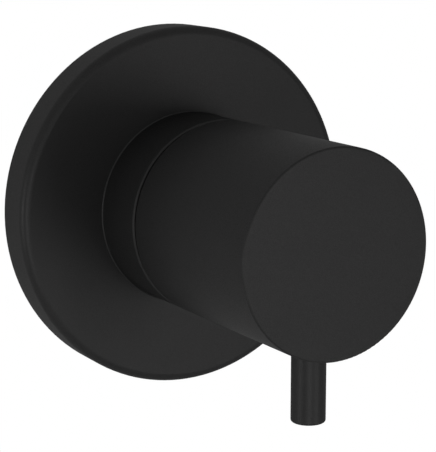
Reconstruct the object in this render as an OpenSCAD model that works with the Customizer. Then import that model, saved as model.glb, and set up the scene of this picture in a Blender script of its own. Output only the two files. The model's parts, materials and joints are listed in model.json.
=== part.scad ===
// Concealed stop valve for a shower or bath: wall plate, sleeve and round knob with a pin
// lever, on a brass valve body in the wall with a quarter-turn ceramic headwork.
// The origin lies on the valve axis, on the finished wall. +Z is up, +Y goes into the wall
// and the knob stands out along -Y. Inside on_axis() z is the distance out from the wall,
// so what is in the wall has a negative z, y points up and x to the right.

/* [Trim] */
// Outside diameter that the knob and the sleeve share
trim_d = 40; // [36:0.5:46]
// How far the sleeve stands out from the wall
sleeve_show = 22.7; // [18:0.1:40]
// Gap between the sleeve's front edge and the knob
joint_gap = 0.75; // [0.3:0.05:0.9]
// Chamfer on the edges of the sleeve and on the knob's back edge
trim_edge = 0.3; // [0.1:0.05:0.6]

/* [Knob] */
// Length of the knob from its back rim to its front face
knob_l = 41.7; // [36:0.1:60]
// Rounding of the knob's front edge
knob_edge_r = 0.4; // [0.2:0.1:1.5]
// Thickness of the wall round the knob's back recess
knob_wall = 2.5; // [2:0.1:3]
// Thickness of the knob's front wall
knob_face_t = 3.5; // [2.5:0.1:6]
// Diameter of the knob's bore for the adapter
knob_bore_d = 22; // [20:0.5:25]
// Length of the knob's bore for the adapter
knob_bore_l = 17.5; // [16.5:0.5:22]

/* [Pin lever] */
// Diameter of the pin
pin_d = 6.7; // [6.3:0.1:9]
// How far the pin stands out of the knob
pin_l = 13.8; // [8:0.1:40]
// Distance of the pin's axis behind the knob's front face
pin_set_back = 9.3; // [8.5:0.1:12]
// Rounding of the pin's end
pin_end_r = 0.5; // [0.2:0.1:1.5]
// Depth of the spot face that the pin seats in
pin_spot = 0.4; // [0.2:0.1:1]
// Diameter of the thread that the pin's stud and the grub screw share
stud_d = 5; // [4:0.5:5.5]
// Length of the grub screw
grub_l = 4; // [3:0.1:4]
// Diameter of the cup at the grub screw's point
cup_d = 2.25; // [1.6:0.05:2.6]
// Width across the flats of the grub screw's socket
grub_socket = 2.5; // [2:0.1:2.6]

/* [Wall plate] */
// Diameter of the wall plate
plate_d = 75.5; // [72:0.5:95]
// Height of the wall plate off the wall
plate_h = 9.15; // [8.5:0.05:14]
// Thickness of the plate's face
plate_face_t = 2; // [1.5:0.1:2.5]
// Thickness of the plate's rim
plate_rim_t = 1.7; // [1.2:0.1:2.5]
// Rounding of the plate's outer edge
plate_edge_r = 1.7; // [0.5:0.1:3]
// Height of the fine raised lip round the plate's bore
bore_lip = 0.2; // [0.1:0.05:0.4]
// Wall of the plate's boss outside the ring's groove
plate_boss_t = 1.9; // [1.5:0.1:3]
// How far the boss stays behind the rim's back edge
plate_boss_back = 2.5; // [1:0.1:3]
// Thickness of the rubber ring in the boss
plate_ring_t = 2; // [1.6:0.1:2.2]
// Thickness of the boss behind the ring's groove
boss_lip_t = 1.35; // [1:0.05:1.4]
// Width of the foam gasket behind the plate
gasket_w = 5; // [3:0.5:6]

/* [Sleeve] */
// How far the sleeve reaches into the wall
sleeve_depth = 14; // [10:0.5:18]
// Wall of the sleeve at its thread
sleeve_wall = 2; // [1.6:0.1:2.5]
// Step from the sleeve's thread to its bore
sleeve_step = 1; // [0.6:0.1:1.5]
// How far the sleeve's thread runs past the carrier's front edge
thread_reach = 1; // [0.5:0.5:3]
// Wall of the nose
nose_wall = 1.8; // [1.5:0.1:2.2]
// Gap between the nose and the knob's recess
nose_gap = 0.7; // [0.5:0.1:1]
// Thickness of the shelf between the sleeve's bore and its nose
sleeve_shelf_t = 2.4; // [1.5:0.1:4]
// Width of the glide ring on the nose
glide_w = 3.3; // [2:0.1:3.6]
// Thickness of the glide ring
glide_t = 1.35; // [1.1:0.05:1.5]

/* [Sleeve carrier] */
// How far the carrier's front edge stays behind the finished wall
carrier_set_back = 2; // [1:0.5:5]
// Wall of the carrier between its thread on the neck and its thread for the sleeve
carrier_wall = 2.9; // [2.4:0.1:3.2]
// Depth of the two flats at the carrier's back, for a spanner
carrier_flat = 1.2; // [0.6:0.1:1.3]
// Length of the two flats
carrier_flat_l = 9; // [5:0.5:10]
// Width of the two key slots in the front edge
key_slot_w = 4; // [3:0.5:6]
// Depth of the two key slots
key_slot_l = 3; // [2:0.5:5]

/* [Valve body] */
// Depth of the valve seat behind the finished wall
seat_depth = 49; // [46:0.5:70]
// Distance from the valve axis to each port's face
port_reach = 35; // [34:0.5:50]
// Width across the flats of the ports' hexagons
port_across = 27; // [26:0.5:30]
// Length of the ports' hexagons
port_hex_l = 9; // [6:0.5:11]
// Inside diameter of the ports' pipe thread
port_bore_d = 18.631; // [18:0.001:19.4]
// Length of the ports' pipe thread
port_thread_l = 15; // [12:0.5:15.5]
// Lead-in chamfer at the ports' mouths
port_lead = 1.2; // [0.5:0.1:1.6]
// Diameter of the arms between the bulb and the hexagons
arm_d = 25.6; // [25:0.1:26]
// Diameter of the bulb where the arms meet
bulb_d = 35; // [34:0.5:38]
// Fillet between the bulb and each arm
arm_fillet_r = 6; // [2:0.5:9]
// Thickness of brass behind the inlet's waterway
bulb_floor = 6; // [3:0.1:7]
// Width of the shoulder on the barrel that the carrier stops at
shoulder_w = 1; // [0.6:0.1:2]
// Length of the neck
neck_l = 11; // [9:0.5:12]
// Diameter of the waterways from the ports
water_d = 9; // [7:0.1:9.6]
// How far each waterway lies off its port's axis
water_shift = 4; // [3.5:0.1:4.2]
// Diameter of the hole in the valve seat
seat_hole_d = 12; // [9:0.5:13]
// Thickness of brass between the seat and the inlet's waterway
seat_floor = 2; // [1.5:0.1:3]
// Diameter of the chamber round the headwork
cavity_d = 23.6; // [22.6:0.1:24.5]
// Height of the cast flow arrow
arrow_h = 0.6; // [0.3:0.1:1]
// Length of the cast flow arrow
arrow_l = 13; // [8:0.5:14]
// Length and width of the arrow's head
arrow_head = 5.5; // [3:0.5:6]
// Width of the arrow's bar
arrow_bar = 1.8; // [1:0.1:3]

/* [Headwork] */
// How far the flats of the bonnet's hexagon stay inside the neck's thread
bonnet_step = 3; // [2.6:0.1:3.6]
// Height of the bonnet's hexagon with its flange
bonnet_head_h = 8; // [6:0.5:9]
// Height of the bonnet's flange
flange_h = 1.2; // [0.8:0.1:2]
// Outside diameter of the bonnet's thread
bonnet_thread_d = 20.9; // [20.4:0.1:21.5]
// Length of the bonnet's thread
bonnet_thread_l = 8; // [7:0.5:10]
// Distance from the space of the driving lugs to the bonnet's thread
headroom = 0.5; // [0.3:0.1:1]
// Thickness of the rubber ring under the bonnet's flange
bonnet_ring_t = 2; // [1.5:0.1:2.2]
// Diameter of the bonnet's nose
bonnet_nose_d = 13; // [11:0.5:15]
// Length of the bonnet's nose
bonnet_nose_l = 8; // [6:0.5:12]
// Outside diameter of the bonnet's cage
cage_d = 18.4; // [18:0.1:18.6]
// Wall of the cage
cage_wall = 1.2; // [1:0.1:1.4]
// Height of the space in which the driving lugs turn
turn_space_h = 4; // [3:0.1:6]
// Width of each window in the cage, as an angle
window_angle = 100; // [70:1:110]
// Diameter of the bore for the spindle's seals
gland_d = 11; // [10.4:0.1:11.6]
// Length of the bore for the spindle's seals
gland_l = 16; // [14:0.5:18]

/* [Quarter turn] */
// Turn of the handle from shut to open
turn_angle = 90; // [80:1:95]
// Width of each driving lug, as an angle
lug_angle = 45; // [35:1:55]
// Free angle between a driving lug and its stop
stop_gap_angle = 0.5; // [0.3:0.1:1.5]
// Inside radius of the stops in the cage
stop_r = 5.9; // [5.85:0.05:6.6]

/* [Ceramic discs] */
// Thickness of each disc
disc_t = 3; // [2.5:0.1:4]
// Width of each water opening in a disc, as an angle
opening_angle = 70; // [50:1:80]
// Outer radius of the openings
opening_r = 6.1; // [5:0.1:6.4]
// Inner radius of the openings
opening_core_r = 2; // [1.5:0.1:3]
// Width of the ears that key the fixed disc to the cage
ear_w = 4.9; // [3:0.1:6]
// Depth of the dogs that drive the moving disc
dog_l = 1.4; // [1:0.1:1.8]
// Width of each dog, as an angle
dog_angle = 20; // [14:1:26]
// Inner radius of the dogs
dog_r = 6.7; // [6.6:0.05:7]
// Thickness of the rubber seal between the fixed disc and the seat
seal_t = 3.5; // [3:0.1:4.5]
// How far the seal stands out behind the cage
seal_proud = 0.5; // [0.3:0.1:1]
// Diameter of the hole in the rubber seal
seal_hole_d = 12; // [10:0.5:12.5]

/* [Spindle] */
// Diameter over the spline's teeth
spline_d = 8; // [7.6:0.1:8.4]
// Diameter at the roots of the spline's teeth
spline_core_d = 7.1; // [6.8:0.1:7.4]
// Number of teeth of the spline
spline_teeth = 20; // [16:1:28]
// Length of the spindle's spline
spline_l = 9; // [7:0.5:12]
// Diameter of the spindle's hub behind its seals
hub_d = 9.2; // [8.4:0.1:10]
// Thickness of the spindle's rubber rings
gland_ring_t = 1.5; // [1.2:0.1:1.6]
// Distance between the spindle's rubber rings
gland_ring_pitch = 5; // [3:0.5:6]
// Thickness of the thrust washer
thrust_t = 0.6; // [0.5:0.1:1.5]
// Angle that the circlip is open
circlip_open = 50; // [40:1:70]
// Thickness of the circlip
circlip_t = 0.8; // [0.6:0.1:1]
// Diameter over the circlip's ring
circlip_d = 11.2; // [10.4:0.1:11.6]
// Depth of the spindle's tapped hole
spindle_hole_l = 15; // [12:0.5:16]

/* [Extension and adapter] */
// Diameter of the extension's back end
socket_d = 13; // [12:0.5:15]
// Length of the extension's back end
socket_l = 13; // [11:0.5:18]
// Diameter of the extension's shank
shank_d = 10; // [9.4:0.1:11]
// Diameter of the long screw's thread
screw_d = 4; // [3:0.5:4.5]
// How far the long screw reaches into the spindle
screw_grip = 10; // [8:0.5:11]
// Diameter of the long screw's head
screw_head_d = 7; // [6.5:0.1:8]
// Height of the long screw's head
screw_head_h = 2.8; // [2:0.1:3.1]
// Width across the flats of the socket in the screw's head
screw_socket = 2.5; // [2:0.1:3]
// Depth of the socket in the screw's head
screw_socket_l = 1.8; // [1:0.1:2]
// Depth of the adapter's pocket for the screw's head
head_pocket_l = 3.35; // [3.2:0.05:4]
// Thickness of the adapter's web under the screw's head
web_t = 4; // [2.5:0.1:5]
// Depth of the groove that the grub screw bears in
lock_groove_t = 0.8; // [0.5:0.1:1.2]

/* [Fits] */
// Radial gap between a screw thread and its nut
thread_gap = 0.05; // [0.02:0.01:0.1]
// Radial gap of the turning and sliding fits
run_gap = 0.04; // [0.02:0.01:0.08]
// Gap round parts that are put together by hand
loose_gap = 0.15; // [0.1:0.01:0.25]
// Film between faces that slide on each other
film = 0.02; // [0.01:0.01:0.05]
// How much wider a groove is than the rubber ring in it
groove_play = 0.3; // [0.2:0.05:0.4]
// Gap between a pressed ring or insert and the wall beside it
seat_gap = 0.2; // [0.1:0.05:0.25]
// Gap at the end of a dog or a spline
end_gap = 0.1; // [0.05:0.05:0.2]
// Free angle on each side of a dog
dog_play_angle = 1; // [0.5:0.1:1.5]

/* [Hidden] */
$fn = 96;

// Colours of the finishes
BLACK = [0.13, 0.13, 0.13];
BRASS = [0.78, 0.63, 0.34];
CAST_BRASS = [0.72, 0.58, 0.33];
STEEL = [0.72, 0.72, 0.72];
RUBBER = [0.08, 0.08, 0.09];
FOAM = [0.25, 0.25, 0.26];
PLASTIC = [0.86, 0.86, 0.82];
CERAMIC = [0.93, 0.92, 0.88];
FIXED_CERAMIC = [0.86, 0.84, 0.8];

// How far a cutting shape runs past the face that it opens
over = 1;
// Small chamfer on the ends of turned metal parts, the one that starts a thread, and the
// one that takes the corners off a hexagon
bevel = 0.4;
thread_bevel = 0.8;
hex_bevel = 1.5;

// Places along the axis behind the wall, worked out from the seat forwards
z_seat = -seat_depth;
z_fixed = z_seat + seal_t;
z_moving = z_fixed + disc_t + film;
z_turn = z_moving + disc_t;
z_turn_top = z_turn + turn_space_h;
z_stop = z_turn + loose_gap;
z_cavity_top = z_turn_top + headroom;
z_neck = z_cavity_top + bonnet_thread_l + bonnet_ring_t;
z_shoulder = z_neck - neck_l;
z_hex_top = z_neck + bonnet_head_h;
z_nose = z_hex_top + bonnet_nose_l;
z_gland_top = z_turn_top + gland_l;
z_cage_back = z_seat + seal_proud;
z_circlip = z_nose + film;
z_socket = z_circlip + circlip_t + loose_gap;
z_spindle = z_socket + spline_l;
z_inlet = z_seat - seat_floor - water_d / 2;
z_port = z_inlet + water_shift;
z_body_back = z_inlet - water_d / 2 - bulb_floor;

// Places along the axis in front of the wall
z_carrier = -carrier_set_back;
z_sleeve_step = z_carrier + thread_reach;
z_knob = sleeve_show + joint_gap;
z_face = z_knob + knob_l;
z_bore_front = z_face - knob_face_t;
z_hub = z_bore_front - knob_bore_l;
z_adapter_front = z_bore_front - seat_gap;
z_adapter_back = z_hub + loose_gap;
z_head_seat = z_adapter_front - head_pocket_l;
z_extension = z_head_seat - web_t;
z_shank = z_adapter_back - loose_gap;
z_pin = z_face - pin_set_back;
z_plate_ring = plate_boss_back + boss_lip_t + (plate_ring_t + groove_play) / 2;

// The sleeve's nose in the knob: set back of the glide ring's groove, groove and lip
nose_land = 2;
nose_lip = 1.1;
z_glide = sleeve_show + nose_land + loose_gap;
z_nose_lip = z_glide + glide_w + loose_gap;
z_nose_end = z_nose_lip + nose_lip;
z_shelf = sleeve_show - sleeve_shelf_t;

// Radii of the trim
trim_r = trim_d / 2;
recess_r = trim_r - knob_wall;
bore_r = knob_bore_d / 2;
adapter_r = bore_r - run_gap;
nose_r = recess_r - nose_gap;
nose_bore_r = nose_r - nose_wall;
glide_out_r = recess_r - run_gap * 2;
glide_in_r = glide_out_r - glide_t;
carrier_r = trim_r - sleeve_wall - thread_gap;
sleeve_thread_r = trim_r - sleeve_wall;
sleeve_bore_r = sleeve_thread_r - sleeve_step;
plate_r = plate_d / 2;
plate_bore_r = trim_r + run_gap * 2;
ring_in_r = trim_r + run_gap;
ring_out_r = ring_in_r + plate_ring_t;
boss_r = ring_out_r + run_gap + plate_boss_t;
gasket_out_r = plate_r - plate_rim_t - film;

// The knob's side hole, from the axis outwards: grub screw, gap, stud, seat of the pin
groove_r = adapter_r - lock_groove_t;
grub_in = groove_r + film;
grub_out = grub_in + grub_l;
pin_seat = trim_r - pin_spot;
pin_end = trim_r + pin_l;
pin_r = pin_d / 2;
stud_r = stud_d / 2;
cup_r = cup_d / 2;
lock_half_w = cup_r + loose_gap;

// Radii of the valve body and the headwork. The neck lies inside the carrier's wall, and the
// barrel and the bonnet's hexagon follow the neck.
neck_r = carrier_r - carrier_wall - thread_gap;
barrel_r = neck_r + shoulder_w;
bulb_r = bulb_d / 2;
arm_r = arm_d / 2;
bonnet_across = 2 * (neck_r - bonnet_step);
water_r = water_d / 2;
port_r = port_bore_d / 2;
thread_r = bonnet_thread_d / 2;
cage_r = cage_d / 2;
cage_bore_r = cage_r - cage_wall;
bonnet_ring_in_r = cage_r + seat_gap;
bonnet_ring_out_r = bonnet_ring_in_r + bonnet_ring_t;
disc_r = cage_bore_r - loose_gap;
gland_r = gland_d / 2;
spline_r = spline_d / 2;
spline_core_r = spline_core_d / 2;
circlip_groove_r = spline_core_r - loose_gap;
hub_r = hub_d / 2;
lug_r = cage_bore_r - loose_gap * 2;
screw_r = screw_d / 2;

// Centre of each rubber ring's section on the spindle, and the bottom of its groove
gland_ring_r = gland_r - film - gland_ring_t / 2;
gland_groove_r = gland_ring_r - gland_ring_t / 2 - film;
z_ring_front = z_gland_top - thrust_t - gland_ring_t * 2;
z_ring_rear = z_ring_front - gland_ring_pitch;

// Angles of the quarter turn. At rest, shut, the driving lugs lie at 0 and 180 degrees.
stop_angle = 180 - turn_angle - lug_angle - 2 * stop_gap_angle;
stop_centre = turn_angle + lug_angle / 2 + stop_gap_angle + stop_angle / 2;
window_centre = turn_angle / 2;
shut_opening = turn_angle;

// Turns a shape built along z so that it stands out of the wall
module on_axis() {
    rotate([90, 0, 0]) children();
}

// Round shape turned about the axis from half of its section, as [radius, z] points
module turned(section) {
    rotate_extrude() polygon(section);
}

// Plain cylinder between two places on the axis
module rod(z0, z1, r) {
    translate([0, 0, z0]) cylinder(r = r, h = z1 - z0);
}

// Ring between two places on the axis
module ring(z0, z1, r_in, r_out) {
    turned([[r_in, z0], [r_out, z0], [r_out, z1], [r_in, z1]]);
}

// Rubber ring of round section
module o_ring(z, r, t) {
    translate([0, 0, z]) rotate_extrude() translate([r, 0]) circle(d = t);
}

// Slice of a ring, centred on one angle
module sector(z0, z1, r_in, r_out, angle, centre) {
    rotate([0, 0, centre - angle / 2])
        rotate_extrude(angle = angle)
            polygon([[r_in, z0], [r_out, z0], [r_out, z1], [r_in, z1]]);
}

// Two slices opposite each other
module sector_pair(z0, z1, r_in, r_out, angle, centre) {
    for (side = [0, 180])
        sector(z0, z1, r_in, r_out, angle, centre + side);
}

// Cutter that rounds the front outer edge of a cylinder
module edge_cutter(z, r, edge_r) {
    rotate_extrude()
        difference() {
            translate([r - edge_r, z - edge_r]) square(edge_r + over);
            translate([r - edge_r, z - edge_r]) circle(r = edge_r);
        }
}

// Hexagon with both ends' corners turned off
module hexagon(z0, z1, across, bevel) {
    corner_r = across / sqrt(3);
    intersection() {
        translate([0, 0, z0]) cylinder(r = corner_r, h = z1 - z0, $fn = 6);
        turned([
            [0, z0], [corner_r - bevel, z0], [corner_r, z0 + bevel / 2],
            [corner_r, z1 - bevel / 2], [corner_r - bevel, z1], [0, z1]
        ]);
    }
}

// Section of a fine spline, with the gap added all round
function spline_section(gap) = [
    for (i = [0 : 2 * spline_teeth - 1])
        let (r = (i % 2 == 0 ? spline_r : spline_core_r) + gap, a = i * 180 / spline_teeth)
            [r * cos(a), r * sin(a)]
];

// Bar of spline, with its teeth bevelled at the front end
module spline(z0, z1) {
    out_r = spline_r + loose_gap;
    end_r = spline_core_r - loose_gap;
    intersection() {
        translate([0, 0, z0]) linear_extrude(z1 - z0) polygon(spline_section(0));
        turned([[0, z0], [out_r, z0], [out_r, z1 - out_r + end_r], [end_r, z1], [0, z1]]);
    }
}

// Splined hole that the bar of spline slides into
module spline_hole(z0, z1) {
    translate([0, 0, z0]) linear_extrude(z1 - z0) polygon(spline_section(run_gap));
}

// Turns a shape built along z so that it runs down the pin lever's axis
module down_lever() {
    translate([0, 0, z_pin]) rotate([90, 0, 0]) children();
}

// Turns a shape built along z so that it runs out through a port: 1 the outlet, -1 the inlet
module toward_port(side) {
    translate([0, 0, z_port]) rotate([-90 * side, 0, 0]) children();
}

// Turned wall plate, hollow behind, with a boss that holds the rubber ring
module wall_plate() {
    groove_h = plate_ring_t + groove_play;
    color(BLACK) on_axis() difference() {
        turned([
            [plate_bore_r, plate_boss_back], [boss_r, plate_boss_back],
            [boss_r, plate_h - plate_face_t], [plate_r - plate_rim_t, plate_h - plate_face_t],
            [plate_r - plate_rim_t, 0], [plate_r, 0], [plate_r, plate_h],
            [plate_bore_r + bore_lip, plate_h], [plate_bore_r, plate_h + bore_lip]
        ]);
        edge_cutter(plate_h, plate_r, plate_edge_r);
        ring(z_plate_ring - groove_h / 2, z_plate_ring + groove_h / 2,
            plate_bore_r - over, ring_out_r + run_gap);
    }
}

// Rubber ring that grips the sleeve
module plate_o_ring() {
    color(RUBBER) on_axis()
        o_ring(z_plate_ring, ring_in_r + plate_ring_t / 2, plate_ring_t);
}

// Foam ring between the wall and the plate's face
module wall_gasket() {
    color(FOAM) on_axis()
        ring(0, plate_h - plate_face_t, gasket_out_r - gasket_w, gasket_out_r);
}

// Sleeve through the plate, threaded inside at the back, with a nose in the knob
module sleeve() {
    groove_back = z_glide - loose_gap;
    color(BLACK) on_axis() turned([
        [sleeve_thread_r, -sleeve_depth], [trim_r - trim_edge, -sleeve_depth],
        [trim_r, trim_edge - sleeve_depth], [trim_r, sleeve_show - trim_edge],
        [trim_r - trim_edge, sleeve_show], [nose_r, sleeve_show], [nose_r, groove_back],
        [glide_in_r - film, groove_back], [glide_in_r - film, z_nose_lip],
        [nose_r, z_nose_lip], [nose_r, z_nose_end - trim_edge],
        [nose_r - trim_edge, z_nose_end], [nose_bore_r, z_nose_end], [nose_bore_r, z_shelf],
        [sleeve_bore_r, z_shelf], [sleeve_bore_r, z_sleeve_step],
        [sleeve_thread_r, z_sleeve_step]
    ]);
}

// Split plastic ring in the nose's groove, on which the knob's recess turns
module glide_ring() {
    split_w = 1.2;
    split_slant = 30;
    color(PLASTIC) on_axis() difference() {
        ring(z_glide, z_glide + glide_w, glide_in_r, glide_out_r);
        translate([0, recess_r, z_glide + glide_w / 2])
            rotate([0, split_slant, 0]) cube([split_w, glide_t * 4, glide_w * 2], center = true);
    }
}

// Knob with a flat face, a back recess over the nose and a bore for the adapter
module knob() {
    color(BLACK) on_axis() difference() {
        turned([
            [recess_r, z_knob], [trim_r - trim_edge, z_knob], [trim_r, z_knob + trim_edge],
            [trim_r, z_face], [0, z_face], [0, z_bore_front], [bore_r, z_bore_front],
            [bore_r, z_hub], [recess_r, z_hub]
        ]);
        edge_cutter(z_face, trim_r, knob_edge_r);
        down_lever() {
            rod(bore_r - over, pin_seat + over, stud_r + thread_gap);
            rod(pin_seat, trim_r + over, pin_r + run_gap);
        }
    }
}

// Pin with the stud that screws into the knob's side hole
module pin_lever() {
    stud_top = grub_out + loose_gap * 2;
    color(BLACK) on_axis() down_lever() difference() {
        turned([
            [0, stud_top], [stud_r - bevel, stud_top], [stud_r, stud_top + bevel],
            [stud_r, pin_seat], [pin_r, pin_seat], [pin_r, pin_end], [0, pin_end]
        ]);
        edge_cutter(pin_end, pin_r, pin_end_r);
    }
}

// Headless screw with a cup point and a hexagon socket
module grub_screw() {
    cup_l = cup_r / 2;
    color(STEEL) on_axis() down_lever() difference() {
        turned([
            [0, grub_in + cup_l], [cup_r, grub_in], [stud_r, grub_in + stud_r - cup_r],
            [stud_r, grub_out - bevel], [stud_r - bevel, grub_out], [0, grub_out]
        ]);
        translate([0, 0, grub_out - grub_l / 2])
            cylinder(d = grub_socket * 2 / sqrt(3), h = grub_l, $fn = 6);
    }
}

// Insert in the knob's bore: splined socket behind, pocket for the screw's head in front
module handle_adapter() {
    mouth_half_w = lock_half_w + lock_groove_t;
    color(BRASS) on_axis() difference() {
        turned([
            [0, z_adapter_back], [adapter_r - bevel, z_adapter_back],
            [adapter_r, z_adapter_back + bevel], [adapter_r, z_pin - mouth_half_w],
            [groove_r, z_pin - lock_half_w], [groove_r, z_pin + lock_half_w],
            [adapter_r, z_pin + mouth_half_w], [adapter_r, z_adapter_front - bevel],
            [adapter_r - bevel, z_adapter_front], [0, z_adapter_front]
        ]);
        spline_hole(z_adapter_back - over, z_extension + film);
        rod(z_extension, z_head_seat + over, screw_r + loose_gap);
        rod(z_head_seat, z_adapter_front + over, screw_head_d / 2 + loose_gap * 2);
    }
}

// Long screw with a hexagon socket, through adapter and extension into the spindle
module adapter_screw() {
    tip = z_spindle - screw_grip;
    head_top = z_head_seat + screw_head_h;
    head_r = screw_head_d / 2;
    color(STEEL) on_axis() difference() {
        turned([
            [0, tip], [screw_r - bevel, tip], [screw_r, tip + bevel], [screw_r, z_head_seat],
            [head_r, z_head_seat], [head_r, head_top - bevel], [head_r - bevel, head_top],
            [0, head_top]
        ]);
        translate([0, 0, head_top - screw_socket_l])
            cylinder(d = screw_socket * 2 / sqrt(3), h = screw_head_h, $fn = 6);
    }
}

// Splined tube that carries the turn from the spindle out to the adapter
module spindle_extension() {
    socket_front = z_socket + socket_l;
    socket_r = socket_d / 2;
    shank_r = shank_d / 2;
    step = socket_r - shank_r;
    color(BRASS) on_axis() difference() {
        union() {
            turned([
                [0, z_socket], [socket_r - bevel, z_socket], [socket_r, z_socket + bevel],
                [socket_r, socket_front - step], [shank_r, socket_front],
                [shank_r, z_shank - bevel], [shank_r - bevel, z_shank], [0, z_shank]
            ]);
            spline(z_shank - over, z_extension);
        }
        spline_hole(z_socket - over, z_spindle + end_gap);
        rod(z_socket, z_extension + over, screw_r + loose_gap);
    }
}

// Tube screwed onto the body's neck; the sleeve screws onto its front
module sleeve_carrier() {
    flat_x = carrier_r - carrier_flat;
    color(BRASS) on_axis() difference() {
        turned([
            [neck_r + thread_gap, z_shoulder], [carrier_r - bevel, z_shoulder],
            [carrier_r, z_shoulder + bevel], [carrier_r, z_carrier - thread_bevel],
            [carrier_r - thread_bevel, z_carrier], [neck_r + thread_gap, z_carrier]
        ]);
        for (side = [0, 180])
            rotate([0, 0, side]) translate([flat_x, -trim_r, z_shoulder - over])
                cube([trim_r, trim_d, carrier_flat_l + over]);
        translate([0, 0, z_carrier])
            cube([trim_d, key_slot_w, key_slot_l * 2], center = true);
    }
}

// One arm of the body, from the valve axis out to its port's face. Its fillet is the ring
// that touches both the round of the bulb and the arm.
module port_arm(side) {
    ring_r = arm_r + arm_fillet_r;
    ring_z = sqrt(pow(bulb_r + arm_fillet_r, 2) - pow(ring_r, 2));
    root_r = ring_r * bulb_r / (bulb_r + arm_fillet_r);
    root_z = ring_z * bulb_r / (bulb_r + arm_fillet_r);
    toward_port(side) {
        rod(0, port_reach - port_hex_l + over, arm_r);
        rotate_extrude() difference() {
            polygon([[0, root_z], [root_r, root_z], [ring_r, ring_z], [0, ring_z]]);
            translate([ring_r, ring_z]) circle(r = arm_fillet_r);
        }
        hexagon(port_reach - port_hex_l, port_reach, port_across, hex_bevel);
    }
}

// What is cut out of one arm: lead-in, pipe thread's bore and waterway
module port_cut(side, water_start) {
    thread_end = port_reach - port_lead;
    toward_port(side) {
        rod(thread_end - port_thread_l, port_reach + over, port_r);
        turned([
            [0, thread_end], [port_r, thread_end],
            [port_r + port_lead + over, port_reach + over], [0, port_reach + over]
        ]);
        translate([0, -water_shift, water_start])
            cylinder(r = water_r, h = thread_end - port_thread_l - water_start + over);
    }
}

// Cast arrow that points the way the water runs
module flow_arrow() {
    tip = arrow_l / 2;
    neck = tip - arrow_head;
    polygon([
        [-arrow_bar / 2, -tip], [arrow_bar / 2, -tip], [arrow_bar / 2, neck],
        [arrow_head / 2, neck], [0, tip], [-arrow_head / 2, neck], [-arrow_bar / 2, neck]
    ]);
}

// Brass casting: the inlet comes in behind the seat, the outlet leaves in front of it
module valve_body() {
    outlet_start = sqrt(pow(cavity_d / 2, 2) - pow(water_r, 2)) - over / 2;
    color(CAST_BRASS) on_axis() {
        difference() {
            union() {
                intersection() {
                    translate([0, 0, z_port]) sphere(d = bulb_d);
                    rod(z_body_back, z_neck, bulb_d);
                }
                rod(z_port, z_shoulder, barrel_r);
                turned([
                    [0, z_shoulder - over], [neck_r, z_shoulder - over],
                    [neck_r, z_neck - thread_bevel], [neck_r - thread_bevel, z_neck],
                    [0, z_neck]
                ]);
                port_arm(1);
                port_arm(-1);
            }
            port_cut(-1, -seat_hole_d / 2);
            port_cut(1, outlet_start);
            rod(z_inlet, z_seat + over, seat_hole_d / 2);
            rod(z_seat, z_cavity_top, cavity_d / 2);
            rod(z_cavity_top - over, z_neck + over, thread_r + thread_gap);
            rod(z_neck - bonnet_ring_t, z_neck + over, bonnet_ring_out_r + film);
        }
        translate([0, 0, z_body_back - arrow_h])
            linear_extrude(arrow_h + over / 2) flow_arrow();
    }
}

// Turned headwork body: hexagon and nose outside, cage with windows and stops inside
module bonnet() {
    flange_r = neck_r - thread_bevel * 2;
    flange_top = z_neck + flange_h;
    ring_back = z_neck - bonnet_ring_t;
    nose_r = bonnet_nose_d / 2;
    color(BRASS) on_axis() {
        difference() {
            union() {
                hexagon(flange_top - film, z_hex_top, bonnet_across, hex_bevel);
                turned([
                    [0, z_cage_back], [cage_r - bevel, z_cage_back],
                    [cage_r, z_cage_back + bevel], [cage_r, z_cavity_top],
                    [thread_r - thread_bevel, z_cavity_top],
                    [thread_r, z_cavity_top + thread_bevel], [thread_r, ring_back - bevel],
                    [thread_r - bevel, ring_back], [cage_r, ring_back], [cage_r, z_neck],
                    [flange_r, z_neck], [flange_r, flange_top], [0, flange_top]
                ]);
                turned([
                    [0, z_hex_top - over], [nose_r, z_hex_top - over],
                    [nose_r, z_nose - bevel], [nose_r - bevel, z_nose], [0, z_nose]
                ]);
            }
            rod(z_cage_back - over, z_turn_top, cage_bore_r);
            rod(z_turn_top - over, z_gland_top, gland_r);
            rod(z_gland_top - over, z_nose + over, spline_r + run_gap);
            sector_pair(z_stop, z_turn_top - loose_gap * 2, cage_bore_r - over, cage_r + over,
                window_angle, window_centre);
            translate([0, 0, z_cage_back - over])
                ear_bar(z_moving - z_cage_back + over, loose_gap, cage_r + over);
        }
        sector_pair(z_stop, z_turn_top + over, stop_r, cage_bore_r + cage_wall / 2,
            stop_angle, stop_centre);
    }
}

// Bar across the axis: the fixed disc's two ears, and with a gap the slots for them
module ear_bar(h, gap, reach) {
    translate([-ear_w / 2 - gap, -reach, 0]) cube([ear_w + 2 * gap, 2 * reach, h]);
}

// Rubber ring under the bonnet's flange
module bonnet_o_ring() {
    color(RUBBER) on_axis()
        o_ring(z_neck - bonnet_ring_t / 2, bonnet_ring_in_r + bonnet_ring_t / 2,
            bonnet_ring_t - film);
}

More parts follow.
